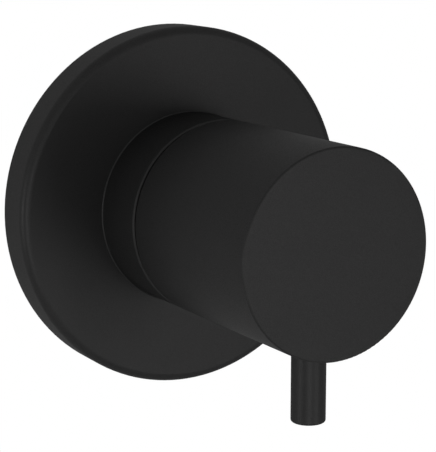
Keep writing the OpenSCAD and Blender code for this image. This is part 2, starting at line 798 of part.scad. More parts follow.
// Spindle: driving lugs and dogs behind, two ring grooves, circlip groove, spline, tapped hole
module spindle() {
    barrel_r = gland_r - run_gap;
    barrel_top = z_gland_top - thrust_t - 2 * film;
    ring_groove = gland_ring_t + groove_play;
    groove_back = z_circlip - film;
    groove_front = z_circlip + circlip_t + film;
    z_flare = z_turn_top + headroom;
    color(BRASS) on_axis() difference() {
        union() {
            turned([
                [0, z_turn + film], [hub_r, z_turn + film], [hub_r, z_flare],
                [barrel_r, z_flare + barrel_r - hub_r], [barrel_r, barrel_top - bevel],
                [barrel_r - bevel, barrel_top], [spline_r, barrel_top],
                [spline_r, groove_back], [circlip_groove_r, groove_back],
                [circlip_groove_r, groove_front], [0, groove_front]
            ]);
            spline(groove_front - film, z_spindle);
            sector_pair(z_turn + film, z_turn_top - loose_gap, hub_r - over, lug_r,
                lug_angle, 0);
            sector_pair(z_turn - dog_l, z_turn + over, dog_r, lug_r, dog_angle, 0);
        }
        for (z = [z_ring_front, z_ring_rear])
            ring(z - ring_groove / 2, z + ring_groove / 2, gland_groove_r, gland_r + over);
        rod(z_spindle - spindle_hole_l, z_spindle + over, screw_r + thread_gap);
    }
}

// Rubber rings in the spindle's grooves
module spindle_o_ring_front() {
    color(RUBBER) on_axis() o_ring(z_ring_front, gland_ring_r, gland_ring_t);
}

module spindle_o_ring_rear() {
    color(RUBBER) on_axis() o_ring(z_ring_rear, gland_ring_r, gland_ring_t);
}

// Plastic washer between the spindle's shoulder and the bonnet
module thrust_washer() {
    color(PLASTIC) on_axis()
        ring(z_gland_top - thrust_t - film / 2, z_gland_top - film / 2,
            spline_r + run_gap * 2, gland_r - run_gap);
}

// Open spring ring with two eyes, in the spindle's groove in front of the nose
module circlip() {
    in_r = circlip_groove_r + film;
    eye_r = 1.25;
    eye_hole_r = 0.55;
    eye_ring_r = in_r + eye_r + film;
    color(STEEL) on_axis() difference() {
        union() {
            sector(z_circlip, z_circlip + circlip_t, in_r, circlip_d / 2,
                360 - circlip_open, -90);
            circlip_eyes(eye_ring_r, z_circlip, circlip_t, eye_r);
        }
        circlip_eyes(eye_ring_r, z_circlip - over, circlip_t + 2 * over, eye_hole_r);
    }
}

// Pair of round shapes beside the opening of the circlip, at its top
module circlip_eyes(centre_r, z, h, r) {
    eye_turn = 11;
    for (side = [-1, 1])
        rotate([0, 0, 90 + side * (circlip_open / 2 + eye_turn)])
            translate([centre_r, 0, z]) cylinder(r = r, h = h);
}

// Ceramic disc that the spindle turns, with two openings and two slots for the dogs
module moving_disc() {
    color(CERAMIC) on_axis() difference() {
        rod(z_moving, z_turn, disc_r);
        sector_pair(z_moving - over, z_turn + over, opening_core_r, opening_r,
            opening_angle, shut_opening);
        sector_pair(z_turn - dog_l - end_gap, z_turn + over, dog_r - loose_gap, disc_r + over,
            dog_angle + 2 * dog_play_angle, 0);
    }
}

// Ceramic disc keyed to the cage; its openings face the moving disc's when the valve is open
module fixed_disc() {
    color(FIXED_CERAMIC) on_axis() difference() {
        union() {
            rod(z_fixed, z_fixed + disc_t, disc_r);
            intersection() {
                translate([0, 0, z_fixed]) ear_bar(disc_t, 0, cage_r);
                rod(z_fixed - over, z_moving, cage_r - loose_gap);
            }
        }
        sector_pair(z_fixed - over, z_moving, opening_core_r, opening_r, opening_angle,
            shut_opening + turn_angle);
    }
}

// Rubber seal, pressed between the fixed disc and the seat
module seat_seal() {
    lip = 0.4;
    color(RUBBER) on_axis() turned([
        [seal_hole_d / 2 + lip, z_seat], [disc_r - lip, z_seat], [disc_r, z_seat + lip],
        [disc_r, z_fixed], [seal_hole_d / 2, z_fixed], [seal_hole_d / 2, z_seat + lip]
    ]);
}

wall_plate();
plate_o_ring();
wall_gasket();
sleeve();
glide_ring();
knob();
pin_lever();
grub_screw();
handle_adapter();
adapter_screw();
spindle_extension();
sleeve_carrier();
valve_body();
bonnet();
bonnet_o_ring();
spindle();
spindle_o_ring_front();
spindle_o_ring_rear();
thrust_washer();
circlip();
moving_disc();
fixed_disc();
seat_seal();
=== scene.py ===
"""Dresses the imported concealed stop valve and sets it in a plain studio.

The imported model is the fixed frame: the wall plane is Y = 0, the valve's axis is the Y axis,
the trim stands out along -Y and the brass body lies behind the wall along +Y, with its inlet
below and its outlet above. All lengths are in metres. The classes add what the solids leave
open: the screw threads, the casting's soft edges, the foam ring and every finish.
"""

from __future__ import annotations

import json
import logging
import math
from abc import ABC, abstractmethod
from collections.abc import Iterable, Sequence
from dataclasses import dataclass, field
from enum import Enum
from typing import Any

import bmesh
import bpy
from mathutils import Matrix, Vector

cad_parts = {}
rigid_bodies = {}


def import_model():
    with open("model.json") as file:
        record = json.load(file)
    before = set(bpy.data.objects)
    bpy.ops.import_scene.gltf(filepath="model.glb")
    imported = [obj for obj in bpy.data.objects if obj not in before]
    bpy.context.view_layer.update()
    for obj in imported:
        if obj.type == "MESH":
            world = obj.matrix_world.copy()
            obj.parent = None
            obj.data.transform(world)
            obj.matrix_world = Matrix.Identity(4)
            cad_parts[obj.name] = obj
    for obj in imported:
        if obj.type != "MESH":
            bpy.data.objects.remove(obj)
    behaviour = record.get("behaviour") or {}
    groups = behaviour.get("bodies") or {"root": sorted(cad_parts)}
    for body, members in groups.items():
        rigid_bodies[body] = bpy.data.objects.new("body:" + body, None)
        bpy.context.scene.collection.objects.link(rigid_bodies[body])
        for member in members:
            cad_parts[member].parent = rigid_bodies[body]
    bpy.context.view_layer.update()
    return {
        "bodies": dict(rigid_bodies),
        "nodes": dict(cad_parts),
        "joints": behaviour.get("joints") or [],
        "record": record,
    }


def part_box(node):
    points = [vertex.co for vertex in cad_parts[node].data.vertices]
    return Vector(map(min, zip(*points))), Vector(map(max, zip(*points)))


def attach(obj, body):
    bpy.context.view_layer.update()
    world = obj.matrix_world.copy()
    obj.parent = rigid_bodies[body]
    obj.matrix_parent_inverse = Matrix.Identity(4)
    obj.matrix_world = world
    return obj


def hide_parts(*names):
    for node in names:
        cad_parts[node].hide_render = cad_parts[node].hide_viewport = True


LOG = logging.getLogger("stop_valve")
MM = 0.001
MERGE = 1e-6
SMOOTH_ANGLE = math.radians(28)
INTO_WALL = Vector((0, 1, 0))
UP = Vector((0, 0, 1))
Colour = tuple[float, float, float]


class Turning(Enum):
    """The axis that a piece was turned about on the lathe."""

    VALVE = "valve"
    PORTS = "ports"


class Side(Enum):
    """Whether a thread is on the outside of a piece or in a bore; the value is its sign."""

    OUTSIDE = 1
    BORE = -1


class Value:
    """A number that a node puts out. Python's operators on it add Math nodes."""

    def __init__(self, nodes: Nodes, socket: bpy.types.NodeSocket) -> None:
        """Wraps one output socket.

        Args:
            nodes: the tree that the socket is in.
            socket: the output socket.
        """
        self.nodes = nodes
        self.socket = socket

    def math(self, operation: str, *others: Value | float) -> Value:
        """Adds a Math node with this value as its first input.

        Args:
            operation: the Math node's operation.
            others: the values of its other inputs.

        Returns:
            The node's result.
        """
        inputs = {i: v for i, v in enumerate((self, *others))}
        return self.nodes.value("ShaderNodeMath", {"operation": operation}, inputs)

    def __add__(self, other: Value | float) -> Value:
        """Sum."""
        return self.math("ADD", other)

    __radd__ = __add__

    def __sub__(self, other: Value | float) -> Value:
        """Difference."""
        return self.math("SUBTRACT", other)

    def __rsub__(self, other: float) -> Value:
        """Difference from a number."""
        return self.math("MULTIPLY", -1.0) + other

    def __mul__(self, other: Value | float) -> Value:
        """Product."""
        return self.math("MULTIPLY", other)

    __rmul__ = __mul__

    def __truediv__(self, other: Value | float) -> Value:
        """Quotient."""
        return self.math("DIVIDE", other)

    def __pow__(self, other: float) -> Value:
        """Power."""
        return self.math("POWER", other)

    def clamped(self) -> Value:
        """The value, held between 0 and 1."""
        return self.math("MAXIMUM", 0.0).math("MINIMUM", 1.0)


class Nodes:
    """Adds nodes to one shader or geometry tree and links them."""

    def __init__(self, tree: bpy.types.NodeTree) -> None:
        """Takes a tree and empties it.

        Args:
            tree: the tree to work in.
        """
        self.tree = tree
        tree.nodes.clear()

    @staticmethod
    def _input(node: bpy.types.Node, key: str | int) -> bpy.types.NodeSocket:
        """Finds an input by its place, its identifier or its name, in that order."""
        if isinstance(key, int):
            return node.inputs[key]
        for socket in node.inputs:
            if socket.identifier == key:
                return socket
        return node.inputs[key]

    def add(
        self,
        kind: str,
        settings: dict[str, Any] | None = None,
        inputs: dict[str | int, Any] | None = None,
    ) -> bpy.types.Node:
        """Adds one node.

        Args:
            kind: the node's type.
            settings: its settings, set first; "stops" holds a colour ramp's places and colours.
            inputs: a number, a colour, a Value or a socket for each input that is used.

        Returns:
            The node.
        """
        node = self.tree.nodes.new(kind)
        for name, setting in (settings or {}).items():
            if name == "stops":
                self._set_stops(node.color_ramp, setting)
            else:
                setattr(node, name, setting)
        for key, given in (inputs or {}).items():
            socket = self._input(node, key)
            if isinstance(given, Value):
                self.tree.links.new(given.socket, socket)
            elif isinstance(given, bpy.types.NodeSocket):
                self.tree.links.new(given, socket)
            else:
                socket.default_value = given
        return node

    @staticmethod
    def _set_stops(ramp: bpy.types.ColorRamp, stops: Sequence[tuple[float, Colour]]) -> None:
        """Gives a ramp its stops."""
        while len(ramp.elements) < len(stops):
            ramp.elements.new(1.0)
        for element, (place, colour) in zip(ramp.elements, stops, strict=True):
            element.position = place
            element.color = (*colour, 1.0)

    def value(
        self,
        kind: str,
        settings: dict[str, Any] | None = None,
        inputs: dict[str | int, Any] | None = None,
        output: str | int = 0,
    ) -> Value:
        """Adds one node and wraps one of its outputs.

        Args:
            kind: the node's type.
            settings: its settings.
            inputs: its inputs.
            output: the name or place of the output.

        Returns:
            The output as a Value.
        """
        return Value(self, self.add(kind, settings, inputs).outputs[output])


class Surface:
    """Patterns on a piece's own Object coordinates, which are the frame's at rest."""

    def __init__(self, nodes: Nodes) -> None:
        """Starts from the Object coordinates.

        Args:
            nodes: the material's tree.
        """
        self.nodes = nodes
        self.place = nodes.add("ShaderNodeTexCoord").outputs["Object"]

    def noise(self, size: float, detail: float = 2.0, roughness: float = 0.5) -> Value:
        """Soft noise from 0 to 1, mostly near a half.

        Args:
            size: the width of its lumps.
            detail: how many finer layers it has.
            roughness: how strong the finer layers are.

        Returns:
            The noise.
        """
        return self.nodes.value(
            "ShaderNodeTexNoise",
            None,
            {"Vector": self.place, "Scale": 1 / size, "Detail": detail, "Roughness": roughness},
        )

    def cells(self, size: float) -> Value:
        """Distance from the nearest cell's middle, for bubbles and grains.

        Args:
            size: the width of a cell.

        Returns:
            The distance, about 0 to 1.
        """
        return self.nodes.value(
            "ShaderNodeTexVoronoi",
            {"feature": "F1"},
            {"Vector": self.place, "Scale": 1 / size},
            "Distance",
        )

    def along_and_off(self, turning: Turning, port_y: float) -> Value:
        """The sum of the way along a lathe's axis and the distance off it.

        It grows along a turned cylinder and across a faced end alike, so that lines of
        equal value are the marks that the lathe's tool leaves.

        Args:
            turning: the axis.
            port_y: the Y of the ports' axis.

        Returns:
            The sum in metres.
        """
        split = self.nodes.add("ShaderNodeSeparateXYZ", None, {0: self.place})
        x, y, z = (Value(self.nodes, split.outputs[axis]) for axis in "XYZ")
        if turning is Turning.PORTS:
            y, z = z, y - port_y
        return y + (x * x + z * z).math("SQRT")

    def lines(self, turning: Turning, port_y: float, pitch: float) -> Value:
        """Fine uneven tool marks round a turned piece.

        Args:
            turning: the axis that it was turned about.
            port_y: the Y of the ports' axis.
            pitch: the distance between marks.

        Returns:
            Noise from 0 to 1 that is even round the axis.
        """
        return self.nodes.value(
            "ShaderNodeTexNoise",
            {"noise_dimensions": "1D"},
            {"W": self.along_and_off(turning, port_y), "Scale": 1 / pitch, "Detail": 3.0},
        )

    def bump(self, height: Value, depth: float) -> bpy.types.NodeSocket:
        """Turns a height from 0 to 1 into a normal.

        Args:
            height: the height.
            depth: how deep the whole range is.

        Returns:
            The normal's socket.
        """
        node = self.nodes.add("ShaderNodeBump", None, {"Distance": depth, "Height": height})
        return node.outputs["Normal"]

    def tint(self, share: Value, low: Colour, high: Colour) -> bpy.types.NodeSocket:
        """Mixes two colours.

        Args:
            share: 0 for the first colour, 1 for the second.
            low: the first colour.
            high: the second colour.

        Returns:
            The colour's socket.
        """
        node = self.nodes.add(
            "ShaderNodeMix",
            {"data_type": "RGBA"},
            {"Factor_Float": share, "A_Color": (*low, 1.0), "B_Color": (*high, 1.0)},
        )
        return next(s for s in node.outputs if s.identifier == "Result_Color")


@dataclass(frozen=True)
class Finish(ABC):
    """What a surface is made of. Each kind of finish says how it dresses the shader."""

    name: str
    slot: str
    colour: Colour
    roughness: float
    specular: float = 0.5
    metallic: float = 0.0

    def material(self) -> bpy.types.Material:
        """Makes the material, or gives it if it is there.

        Returns:
            The material.
        """
        made = bpy.data.materials.get(self.name)
        if made is None:
            made = bpy.data.materials.new(self.name)
            made.use_nodes = True
            nodes = Nodes(made.node_tree)
            shader = self.shader(nodes, Surface(nodes))
            nodes.add("ShaderNodeOutputMaterial", None, {"Surface": shader})
        return made

    def shader(self, nodes: Nodes, surface: Surface) -> bpy.types.NodeSocket:
        """Adds the shader.

        Args:
            nodes: the material's tree.
            surface: the patterns to draw on.

        Returns:
            The shader's socket.
        """
        fixed = {"Specular IOR Level": self.specular, "Metallic": self.metallic}
        dressed = fixed | self.dress(surface)
        return nodes.add("ShaderNodeBsdfPrincipled", None, dressed).outputs[0]

    @abstractmethod
    def dress(self, surface: Surface) -> dict[str, Any]:
        """Gives the shader's inputs that change over the surface.

        Args:
            surface: the patterns to draw on.

        Returns:
            The inputs by name.
        """

    def shade(self, factor: float) -> Colour:
        """The finish's colour, lighter or darker by a factor."""
        return tuple(min(1.0, part * factor) for part in self.colour)


@dataclass(frozen=True)
class PowderCoat(Finish):
    """Matt coat baked on metal: satin grains in a dull binder, with a low orange peel."""

    peel: float = 1.4 * MM
    grain: float = 0.16 * MM
    satin_share: float = 0.172

    def shader(self, nodes: Nodes, surface: Surface) -> bpy.types.NodeSocket:
        """See Finish.shader."""
        dressed = self.dress(surface)
        dull, satin = (
            nodes.add("ShaderNodeBsdfPrincipled", None, {"Specular IOR Level": level} | dressed)
            for level in (0.0, self.specular)
        )
        share = surface.noise(self.grain) * (2 * self.satin_share)
        both = nodes.add("ShaderNodeMixShader", None, {0: share, 1: dull.outputs[0], 2: satin.outputs[0]})
        return both.outputs[0]

    def dress(self, surface: Surface) -> dict[str, Any]:
        """See Finish.dress."""
        peel = surface.noise(self.peel)
        grain = surface.noise(self.grain, 3.0, 0.6)
        mottle = surface.noise(6 * self.peel, 3.0)
        return {
            "Base Color": surface.tint(mottle, self.shade(0.92), self.shade(1.08)),
            "Roughness": grain * 0.1 + (self.roughness - 0.05),
            "Normal": surface.bump(peel * 0.35 + grain * 0.65, 0.004 * MM),
        }


@dataclass(frozen=True)
class CastMetal(Finish):
    """Blasted sand casting: coarse grain, shallow pits and a dull uneven tone."""

    grain: float = 0.35 * MM

    def dress(self, surface: Surface) -> dict[str, Any]:
        """See Finish.dress."""
        grain = surface.noise(self.grain, 4.0, 0.65)
        swell = surface.noise(8 * self.grain, 2.0)
        tone = surface.noise(30 * self.grain, 4.0, 0.6)
        pits = (surface.cells(2.2 * self.grain) * 3.0).clamped()
        return {
            "Base Color": surface.tint(tone, self.shade(0.82), self.shade(1.12)),
            "Roughness": grain * 0.2 + (self.roughness - 0.1),
            "Normal": surface.bump(grain * 0.5 + swell * 0.3 + pits * 0.2, 0.09 * MM),
        }


@dataclass(frozen=True)
class TurnedMetal(Finish):
    """Metal off the lathe: fine marks round the axis that it was turned about."""

    turning: Turning = Turning.VALVE
    port_y: float = 0.0
    pitch: float = 0.12 * MM

    def dress(self, surface: Surface) -> dict[str, Any]:
        """See Finish.dress."""
        marks = surface.lines(self.turning, self.port_y, self.pitch)
        broad = surface.lines(self.turning, self.port_y, 9 * self.pitch)
        stain = surface.noise(7 * MM, 4.0, 0.6)
        return {
            "Base Color": surface.tint(stain, self.shade(0.93), self.shade(1.05)),
            "Roughness": marks * 0.12 + broad * 0.06 + (self.roughness - 0.09),
            "Normal": surface.bump(marks * 0.7 + broad * 0.3, 0.006 * MM),
        }


@dataclass(frozen=True)
class MouldedRubber(Finish):
    """Black rubber with a faint bloom on its skin."""

    def dress(self, surface: Surface) -> dict[str, Any]:
        """See Finish.dress."""
        skin = surface.noise(0.25 * MM, 3.0)
        bloom = surface.noise(3 * MM, 4.0, 0.65)
        return {
            "Base Color": surface.tint(bloom, self.shade(0.8), self.shade(1.3)),
            "Roughness": bloom * 0.16 + (self.roughness - 0.08),
            "Normal": surface.bump(skin, 0.01 * MM),
        }


@dataclass(frozen=True)
class CellFoam(Finish):
    """Closed-cell foam: small round bubbles cut open at the surface, with painted shade that darkens each
    bubble's hollow.
    """

    cell: float = 0.45 * MM

    def dress(self, surface: Surface) -> dict[str, Any]:
        """See Finish.dress."""
        cells = (surface.cells(self.cell) * 1.6).clamped()
        small = (surface.cells(0.45 * self.cell) * 1.6).clamped()
        hollow_and_painted_shade = cells * 0.7 + small * 0.3
        return {
            # Painted shade: the colour is darker in each bubble's hollow and lighter on the cell walls
            # between; the same pattern also sets the bump and roughness.
            "Base Color": surface.tint(hollow_and_painted_shade, self.shade(0.55), self.shade(1.25)),
            "Roughness": hollow_and_painted_shade * -0.05 + self.roughness,
            "Normal": surface.bump(hollow_and_painted_shade, 0.12 * MM),
        }


@dataclass(frozen=True)
class MouldedPlastic(Finish):
    """Natural acetal: smooth, slightly waxy, with a soft tone."""

    def dress(self, surface: Surface) -> dict[str, Any]:
        """See Finish.dress."""
        wax = surface.noise(2.5 * MM, 3.0)
        skin = surface.noise(0.3 * MM, 2.0)
        return {
            "Base Color": surface.tint(wax, self.shade(0.95), self.shade(1.03)),
            "Roughness": skin * 0.1 + (self.roughness - 0.05),
            "Normal": surface.bump(skin, 0.004 * MM),
        }


@dataclass(frozen=True)
class LappedCeramic(Finish):
    """Lapped alumina: white with a tiny warm fleck and a near mirror face."""

    def dress(self, surface: Surface) -> dict[str, Any]:
        """See Finish.dress."""
        fleck = surface.noise(0.5 * MM, 4.0, 0.7)
        haze = surface.noise(4 * MM, 2.0)
        return {
            "Base Color": surface.tint(fleck, self.shade(0.93), self.shade(1.04)),
            "Roughness": haze * 0.1 + (self.roughness - 0.05),
            "Normal": surface.bump(fleck, 0.002 * MM),
        }


class Solid:
    """Mesh tools that the pieces share. Every mesh is placed in the frame itself."""

    @staticmethod
    def valve_axis() -> Matrix:
        """Lays local Z along +Y, into the wall."""
        return Matrix.Rotation(-math.pi / 2, 4, "X")

    @staticmethod
    def port_axis(side: int, y: float) -> Matrix:
        """Lays local Z along the ports' axis, up for 1 and down for -1."""
        turn = Matrix.Rotation(0.0 if side > 0 else math.pi, 4, "X")
        return Matrix.Translation((0, y, 0)) @ turn

    @staticmethod
    def of(name: str, mesh: bpy.types.Mesh) -> bpy.types.Object:
        """Puts a mesh in the scene as an object at the origin.

        Args:
            name: the object's name.
            mesh: its mesh.

        Returns:
            The object.
        """
        made = bpy.data.objects.new(name, mesh)
        bpy.context.scene.collection.objects.link(made)
        return made

    @staticmethod
    def from_bmesh(name: str, made: bmesh.types.BMesh, finish: Finish) -> bpy.types.Object:
        """Turns a closed bmesh into an object with its faces outwards.

        Args:
            name: the object's name.
            made: the bmesh, which is freed.
            finish: the finish of all its faces.

        Returns:
            The object.
        """
        bmesh.ops.remove_doubles(made, verts=made.verts, dist=MERGE)
        bmesh.ops.recalc_face_normals(made, faces=made.faces)
        mesh = bpy.data.meshes.new(name)
        made.to_mesh(mesh)
        made.free()
        mesh.materials.append(finish.material())
        return Solid.of(name, mesh)

    @staticmethod
    def lathe(
        name: str,
        section: Sequence[tuple[float, float]],
        finish: Finish,
        axis: Matrix,
        steps: int = 160,
    ) -> bpy.types.Object:
        """Turns half a section about an axis.

        Args:
            name: the object's name.
            section: the points of half the section as distance off and along the axis; the
                first and the last lie on the axis, or the section closes on itself.
            finish: the finish.
            axis: the matrix that turns local Z into the axis.
            steps: the number of steps round.

        Returns:
            The closed object.
        """
        made = bmesh.new()
        points = [made.verts.new((r, 0.0, along)) for r, along in section]
        on_axis = section[0][0] == 0.0 and section[-1][0] == 0.0
        edges = [made.edges.new(pair) for pair in zip(points, points[1:], strict=False)]
        if not on_axis:
            edges.append(made.edges.new((points[-1], points[0])))
        bmesh.ops.spin(
            made,
            geom=points + edges,
            axis=(0.0, 0.0, 1.0),
            cent=(0.0, 0.0, 0.0),
            steps=steps,
            angle=math.tau,
        )
        made.transform(axis)
        return Solid.from_bmesh(name, made, finish)

    @staticmethod
    def prism(
        name: str, corners: Sequence[tuple[float, float]], height: float, finish: Finish, axis: Matrix
    ) -> bpy.types.Object:
        """Raises an outline along local Z.

        Args:
            name: the object's name.
            corners: the outline's corners.
            height: the height.
            finish: the finish.
            axis: the matrix that places it.

        Returns:
            The closed object.
        """
        made = bmesh.new()
        base = made.faces.new([made.verts.new((x, y, 0.0)) for x, y in corners])
        raised = bmesh.ops.extrude_face_region(made, geom=[base])["geom"]
        top = [item for item in raised if isinstance(item, bmesh.types.BMVert)]
        bmesh.ops.translate(made, verts=top, vec=(0.0, 0.0, height))
        made.transform(axis)
        return Solid.from_bmesh(name, made, finish)

    @staticmethod
    def copy_of(node: bpy.types.Object, finish: Finish) -> bpy.types.Object:
        """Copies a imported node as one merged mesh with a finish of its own.

        Args:
            node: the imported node.
            finish: the finish of the copy.

        Returns:
            The copy, at the origin and on no body.
        """
        made = bmesh.new()
        made.from_mesh(node.data)
        bmesh.ops.remove_doubles(made, verts=made.verts, dist=MERGE)
        mesh = bpy.data.meshes.new(f"{node.name}_copy")
        made.to_mesh(mesh)
        made.free()
        for attribute in ("custom_normal", "sharp_edge", "sharp_face"):
            if attribute in mesh.attributes:
                mesh.attributes.remove(mesh.attributes[attribute])
        mesh.materials.clear()
        mesh.materials.append(finish.material())
        mesh.polygons.foreach_set("material_index", [0] * len(mesh.polygons))
        return Solid.of(mesh.name, mesh)

    @staticmethod
    def baked(piece: bpy.types.Object) -> bpy.types.Object:
        """Turns an object's modifiers into plain mesh.

        Args:
            piece: the object.

        Returns:
            The same object, with no modifiers.
        """
        graph = bpy.context.evaluated_depsgraph_get()
        mesh = bpy.data.meshes.new_from_object(piece.evaluated_get(graph))
        piece.modifiers.clear()
        old = piece.data
        piece.data = mesh
        bpy.data.meshes.remove(old)
        return piece

    @staticmethod
    def combine(
        piece: bpy.types.Object, others: Iterable[bpy.types.Object], operation: str
    ) -> bpy.types.Object:
        """Joins closed objects to a piece or cuts them out of it, and removes them.

        Args:
            piece: the closed piece.
            others: the closed objects.
            operation: UNION, DIFFERENCE or INTERSECT.

        Returns:
            The piece.
        """
        for other in others:
            modifier = piece.modifiers.new(operation.lower(), "BOOLEAN")
            modifier.solver = "MANIFOLD"
            modifier.material_mode = "TRANSFER"
            modifier.operation = operation
            modifier.object = other
            Solid.baked(piece)
            bpy.data.objects.remove(other)
        return piece

    @staticmethod
    def smoothed(piece: bpy.types.Object) -> bpy.types.Object:
        """Shades a piece smooth, apart from its edges and its flat faces.

        Args:
            piece: the piece.

        Returns:
            The piece.
        """
        made = bmesh.new()
        made.from_mesh(piece.data)
        bmesh.ops.remove_doubles(made, verts=made.verts, dist=MERGE)
        bmesh.ops.dissolve_degenerate(made, edges=made.edges, dist=MERGE)
        made.to_mesh(piece.data)
        made.free()
        piece.data.shade_smooth()
        piece.data.set_sharp_from_angle(angle=SMOOTH_ANGLE)
        weighted = piece.modifiers.new("flat_faces", "WEIGHTED_NORMAL")
        weighted.keep_sharp = True
        return Solid.baked(piece)


@dataclass(frozen=True)
class Thread:
    """One screw thread, cut along an axis from outside the piece's end."""

    radius: float
    pitch: float
    start: Vector
    along: Vector
    length: float
    side: Side
    flank_deg: float = 30.0
    depth_share: float = 0.613
    opening_share: float = 0.43
    lift_share: float = 0.05

    @classmethod
    def metric(
        cls, radius: float, pitch: float, mouth: Vector, along: Vector, length: float, side: Side
    ) -> Thread:
        """A metric thread that is cut from a piece's end.

        Args:
            radius: the radius of the plain pin or bore.
            pitch: the pitch.
            mouth: the point on the axis in the end's face.
            along: the direction from that end into the piece.
            length: how long the thread is.
            side: outside or in a bore.

        Returns:
            The thread, which starts one pitch in front of the end.
        """
        return cls(radius, pitch, mouth - along * pitch, along, length + pitch, side)

    def inputs(self) -> dict[str, float]:
        """The sizes that the cutter's tree asks for.

        Returns:
            The value of each named input.
        """
        depth = self.depth_share * self.pitch
        lift = self.lift_share * self.pitch
        slope = math.tan(math.radians(self.flank_deg))
        opening = self.opening_share * self.pitch
        return {
            "Radius": self.radius,
            "Pitch": self.pitch,
            "Turns": self.length / self.pitch,
            "Depth": -depth * self.side.value,
            "Lift": lift * self.side.value,
            "Opening": opening + lift * slope,
            "Root": opening - depth * slope,
        }

    def placed(self) -> Matrix:
        """The matrix that lays the cutter's Z along the thread."""
        turn = Vector((0, 0, 1)).rotation_difference(self.along).to_matrix().to_4x4()
        return Matrix.Translation(self.start) @ turn


class ThreadCutter:
    """Geometry Nodes tree that sweeps a thread's V-shaped groove along its helix."""

    STEPS = 96
    RUN_OUT_TURNS = 0.6
    NUMBERS = ("Radius", "Pitch", "Turns", "Depth", "Lift", "Opening", "Root")

    def __init__(self) -> None:
        """Builds the tree once for all threads."""
        self.tree = bpy.data.node_groups.new("thread_groove", "GeometryNodeTree")
        self.sockets = {
            name: self.tree.interface.new_socket(
                name=name, in_out="INPUT", socket_type="NodeSocketFloat"
            )
            for name in self.NUMBERS
        }
        self.sockets["Finish"] = self.tree.interface.new_socket(
            name="Finish", in_out="INPUT", socket_type="NodeSocketMaterial"
        )
        self.tree.interface.new_socket(
            name="Groove", in_out="OUTPUT", socket_type="NodeSocketGeometry"
        )
        self._build(Nodes(self.tree))

    def _build(self, nodes: Nodes) -> None:
        """Adds the tree's nodes."""
        given = nodes.add("NodeGroupInput").outputs
        radius, pitch, turns, depth, lift, opening, root = (
            Value(nodes, given[name]) for name in self.NUMBERS
        )
        helix = nodes.add(
            "GeometryNodeCurveSpiral",
            None,
            {
                "Resolution": self.STEPS,
                "Rotations": turns,
                "Start Radius": radius,
                "End Radius": radius,
                "Height": turns * pitch,
                "Reverse": True,
            },
        )
        run_out = self._run_out(nodes, turns, (lift - depth) * 1.05)
        path = nodes.add(
            "GeometryNodeSetPosition",
            None,
            {"Geometry": helix.outputs[0], "Offset": run_out},
        )
        upright = nodes.add(
            "GeometryNodeSetCurveNormal", {"mode": "Z_UP"}, {"Curve": path.outputs[0]}
        )
        corners = {
            f"Point {i}": self._corner(nodes, x, y)
            for i, (x, y) in enumerate(
                ((lift, opening), (depth, root), (depth, root * -1), (lift, opening * -1)), 1
            )
        }
        groove = nodes.add("GeometryNodeCurvePrimitiveQuadrilateral", {"mode": "POINTS"}, corners)
        swept = nodes.add(
            "GeometryNodeCurveToMesh",
            None,
            {
                "Curve": upright.outputs[0],
                "Profile Curve": groove.outputs[0],
                "Fill Caps": True,
            },
        )
        real = nodes.add("GeometryNodeRealizeInstances", None, {0: swept.outputs[0]})
        dressed = nodes.add(
            "GeometryNodeSetMaterial",
            None,
            {"Geometry": real.outputs[0], "Material": given["Finish"]},
        )
        nodes.add("NodeGroupOutput", None, {"Groove": dressed.outputs[0]})

    def _run_out(self, nodes: Nodes, turns: Value, away: Value) -> bpy.types.NodeSocket:
        """Moves the last part of the helix off the surface, so that the groove fades out.

        Args:
            nodes: the tree.
            turns: the number of turns.
            away: how far the end moves off the axis.

        Returns:
            The offset's socket.
        """
        share = nodes.value("GeometryNodeSplineParameter", None, None, "Factor")
        left = (1 - share) * turns / self.RUN_OUT_TURNS
        fade = (1 - left).clamped()
        split = nodes.add(
            "ShaderNodeSeparateXYZ", None, {0: nodes.add("GeometryNodeInputPosition").outputs[0]}
        )
        flat = nodes.add(
            "ShaderNodeCombineXYZ", None, {"X": split.outputs["X"], "Y": split.outputs["Y"]}
        )
        out = nodes.add("ShaderNodeVectorMath", {"operation": "NORMALIZE"}, {0: flat.outputs[0]})
        moved = nodes.add(
            "ShaderNodeVectorMath",
            {"operation": "SCALE"},
            {0: out.outputs[0], "Scale": fade * fade * away},
        )
        return moved.outputs[0]

    @staticmethod
    def _corner(nodes: Nodes, x: Value, y: Value) -> bpy.types.NodeSocket:
        """One corner of the groove's section: x goes away from the axis, y along it."""
        return nodes.add("ShaderNodeCombineXYZ", None, {"X": x, "Y": y}).outputs[0]

    def cutter(self, thread: Thread, finish: Finish) -> bpy.types.Object:
        """Makes the closed groove of one thread.

        Args:
            thread: the thread.
            finish: the finish of the cut faces.

        Returns:
            The groove as a plain mesh, placed in the frame.
        """
        made = Solid.of("groove", bpy.data.meshes.new("groove"))
        modifier = made.modifiers.new("thread", "NODES")
        modifier.node_group = self.tree
        for name, number in thread.inputs().items():
            modifier[self.sockets[name].identifier] = number
        modifier[self.sockets["Finish"].identifier] = finish.material()
        Solid.baked(made)
        shape = bmesh.new()
        shape.from_mesh(made.data)
        shape.transform(thread.placed())
        bmesh.ops.recalc_face_normals(shape, faces=shape.faces)
        shape.to_mesh(made.data)
        shape.free()
        return made


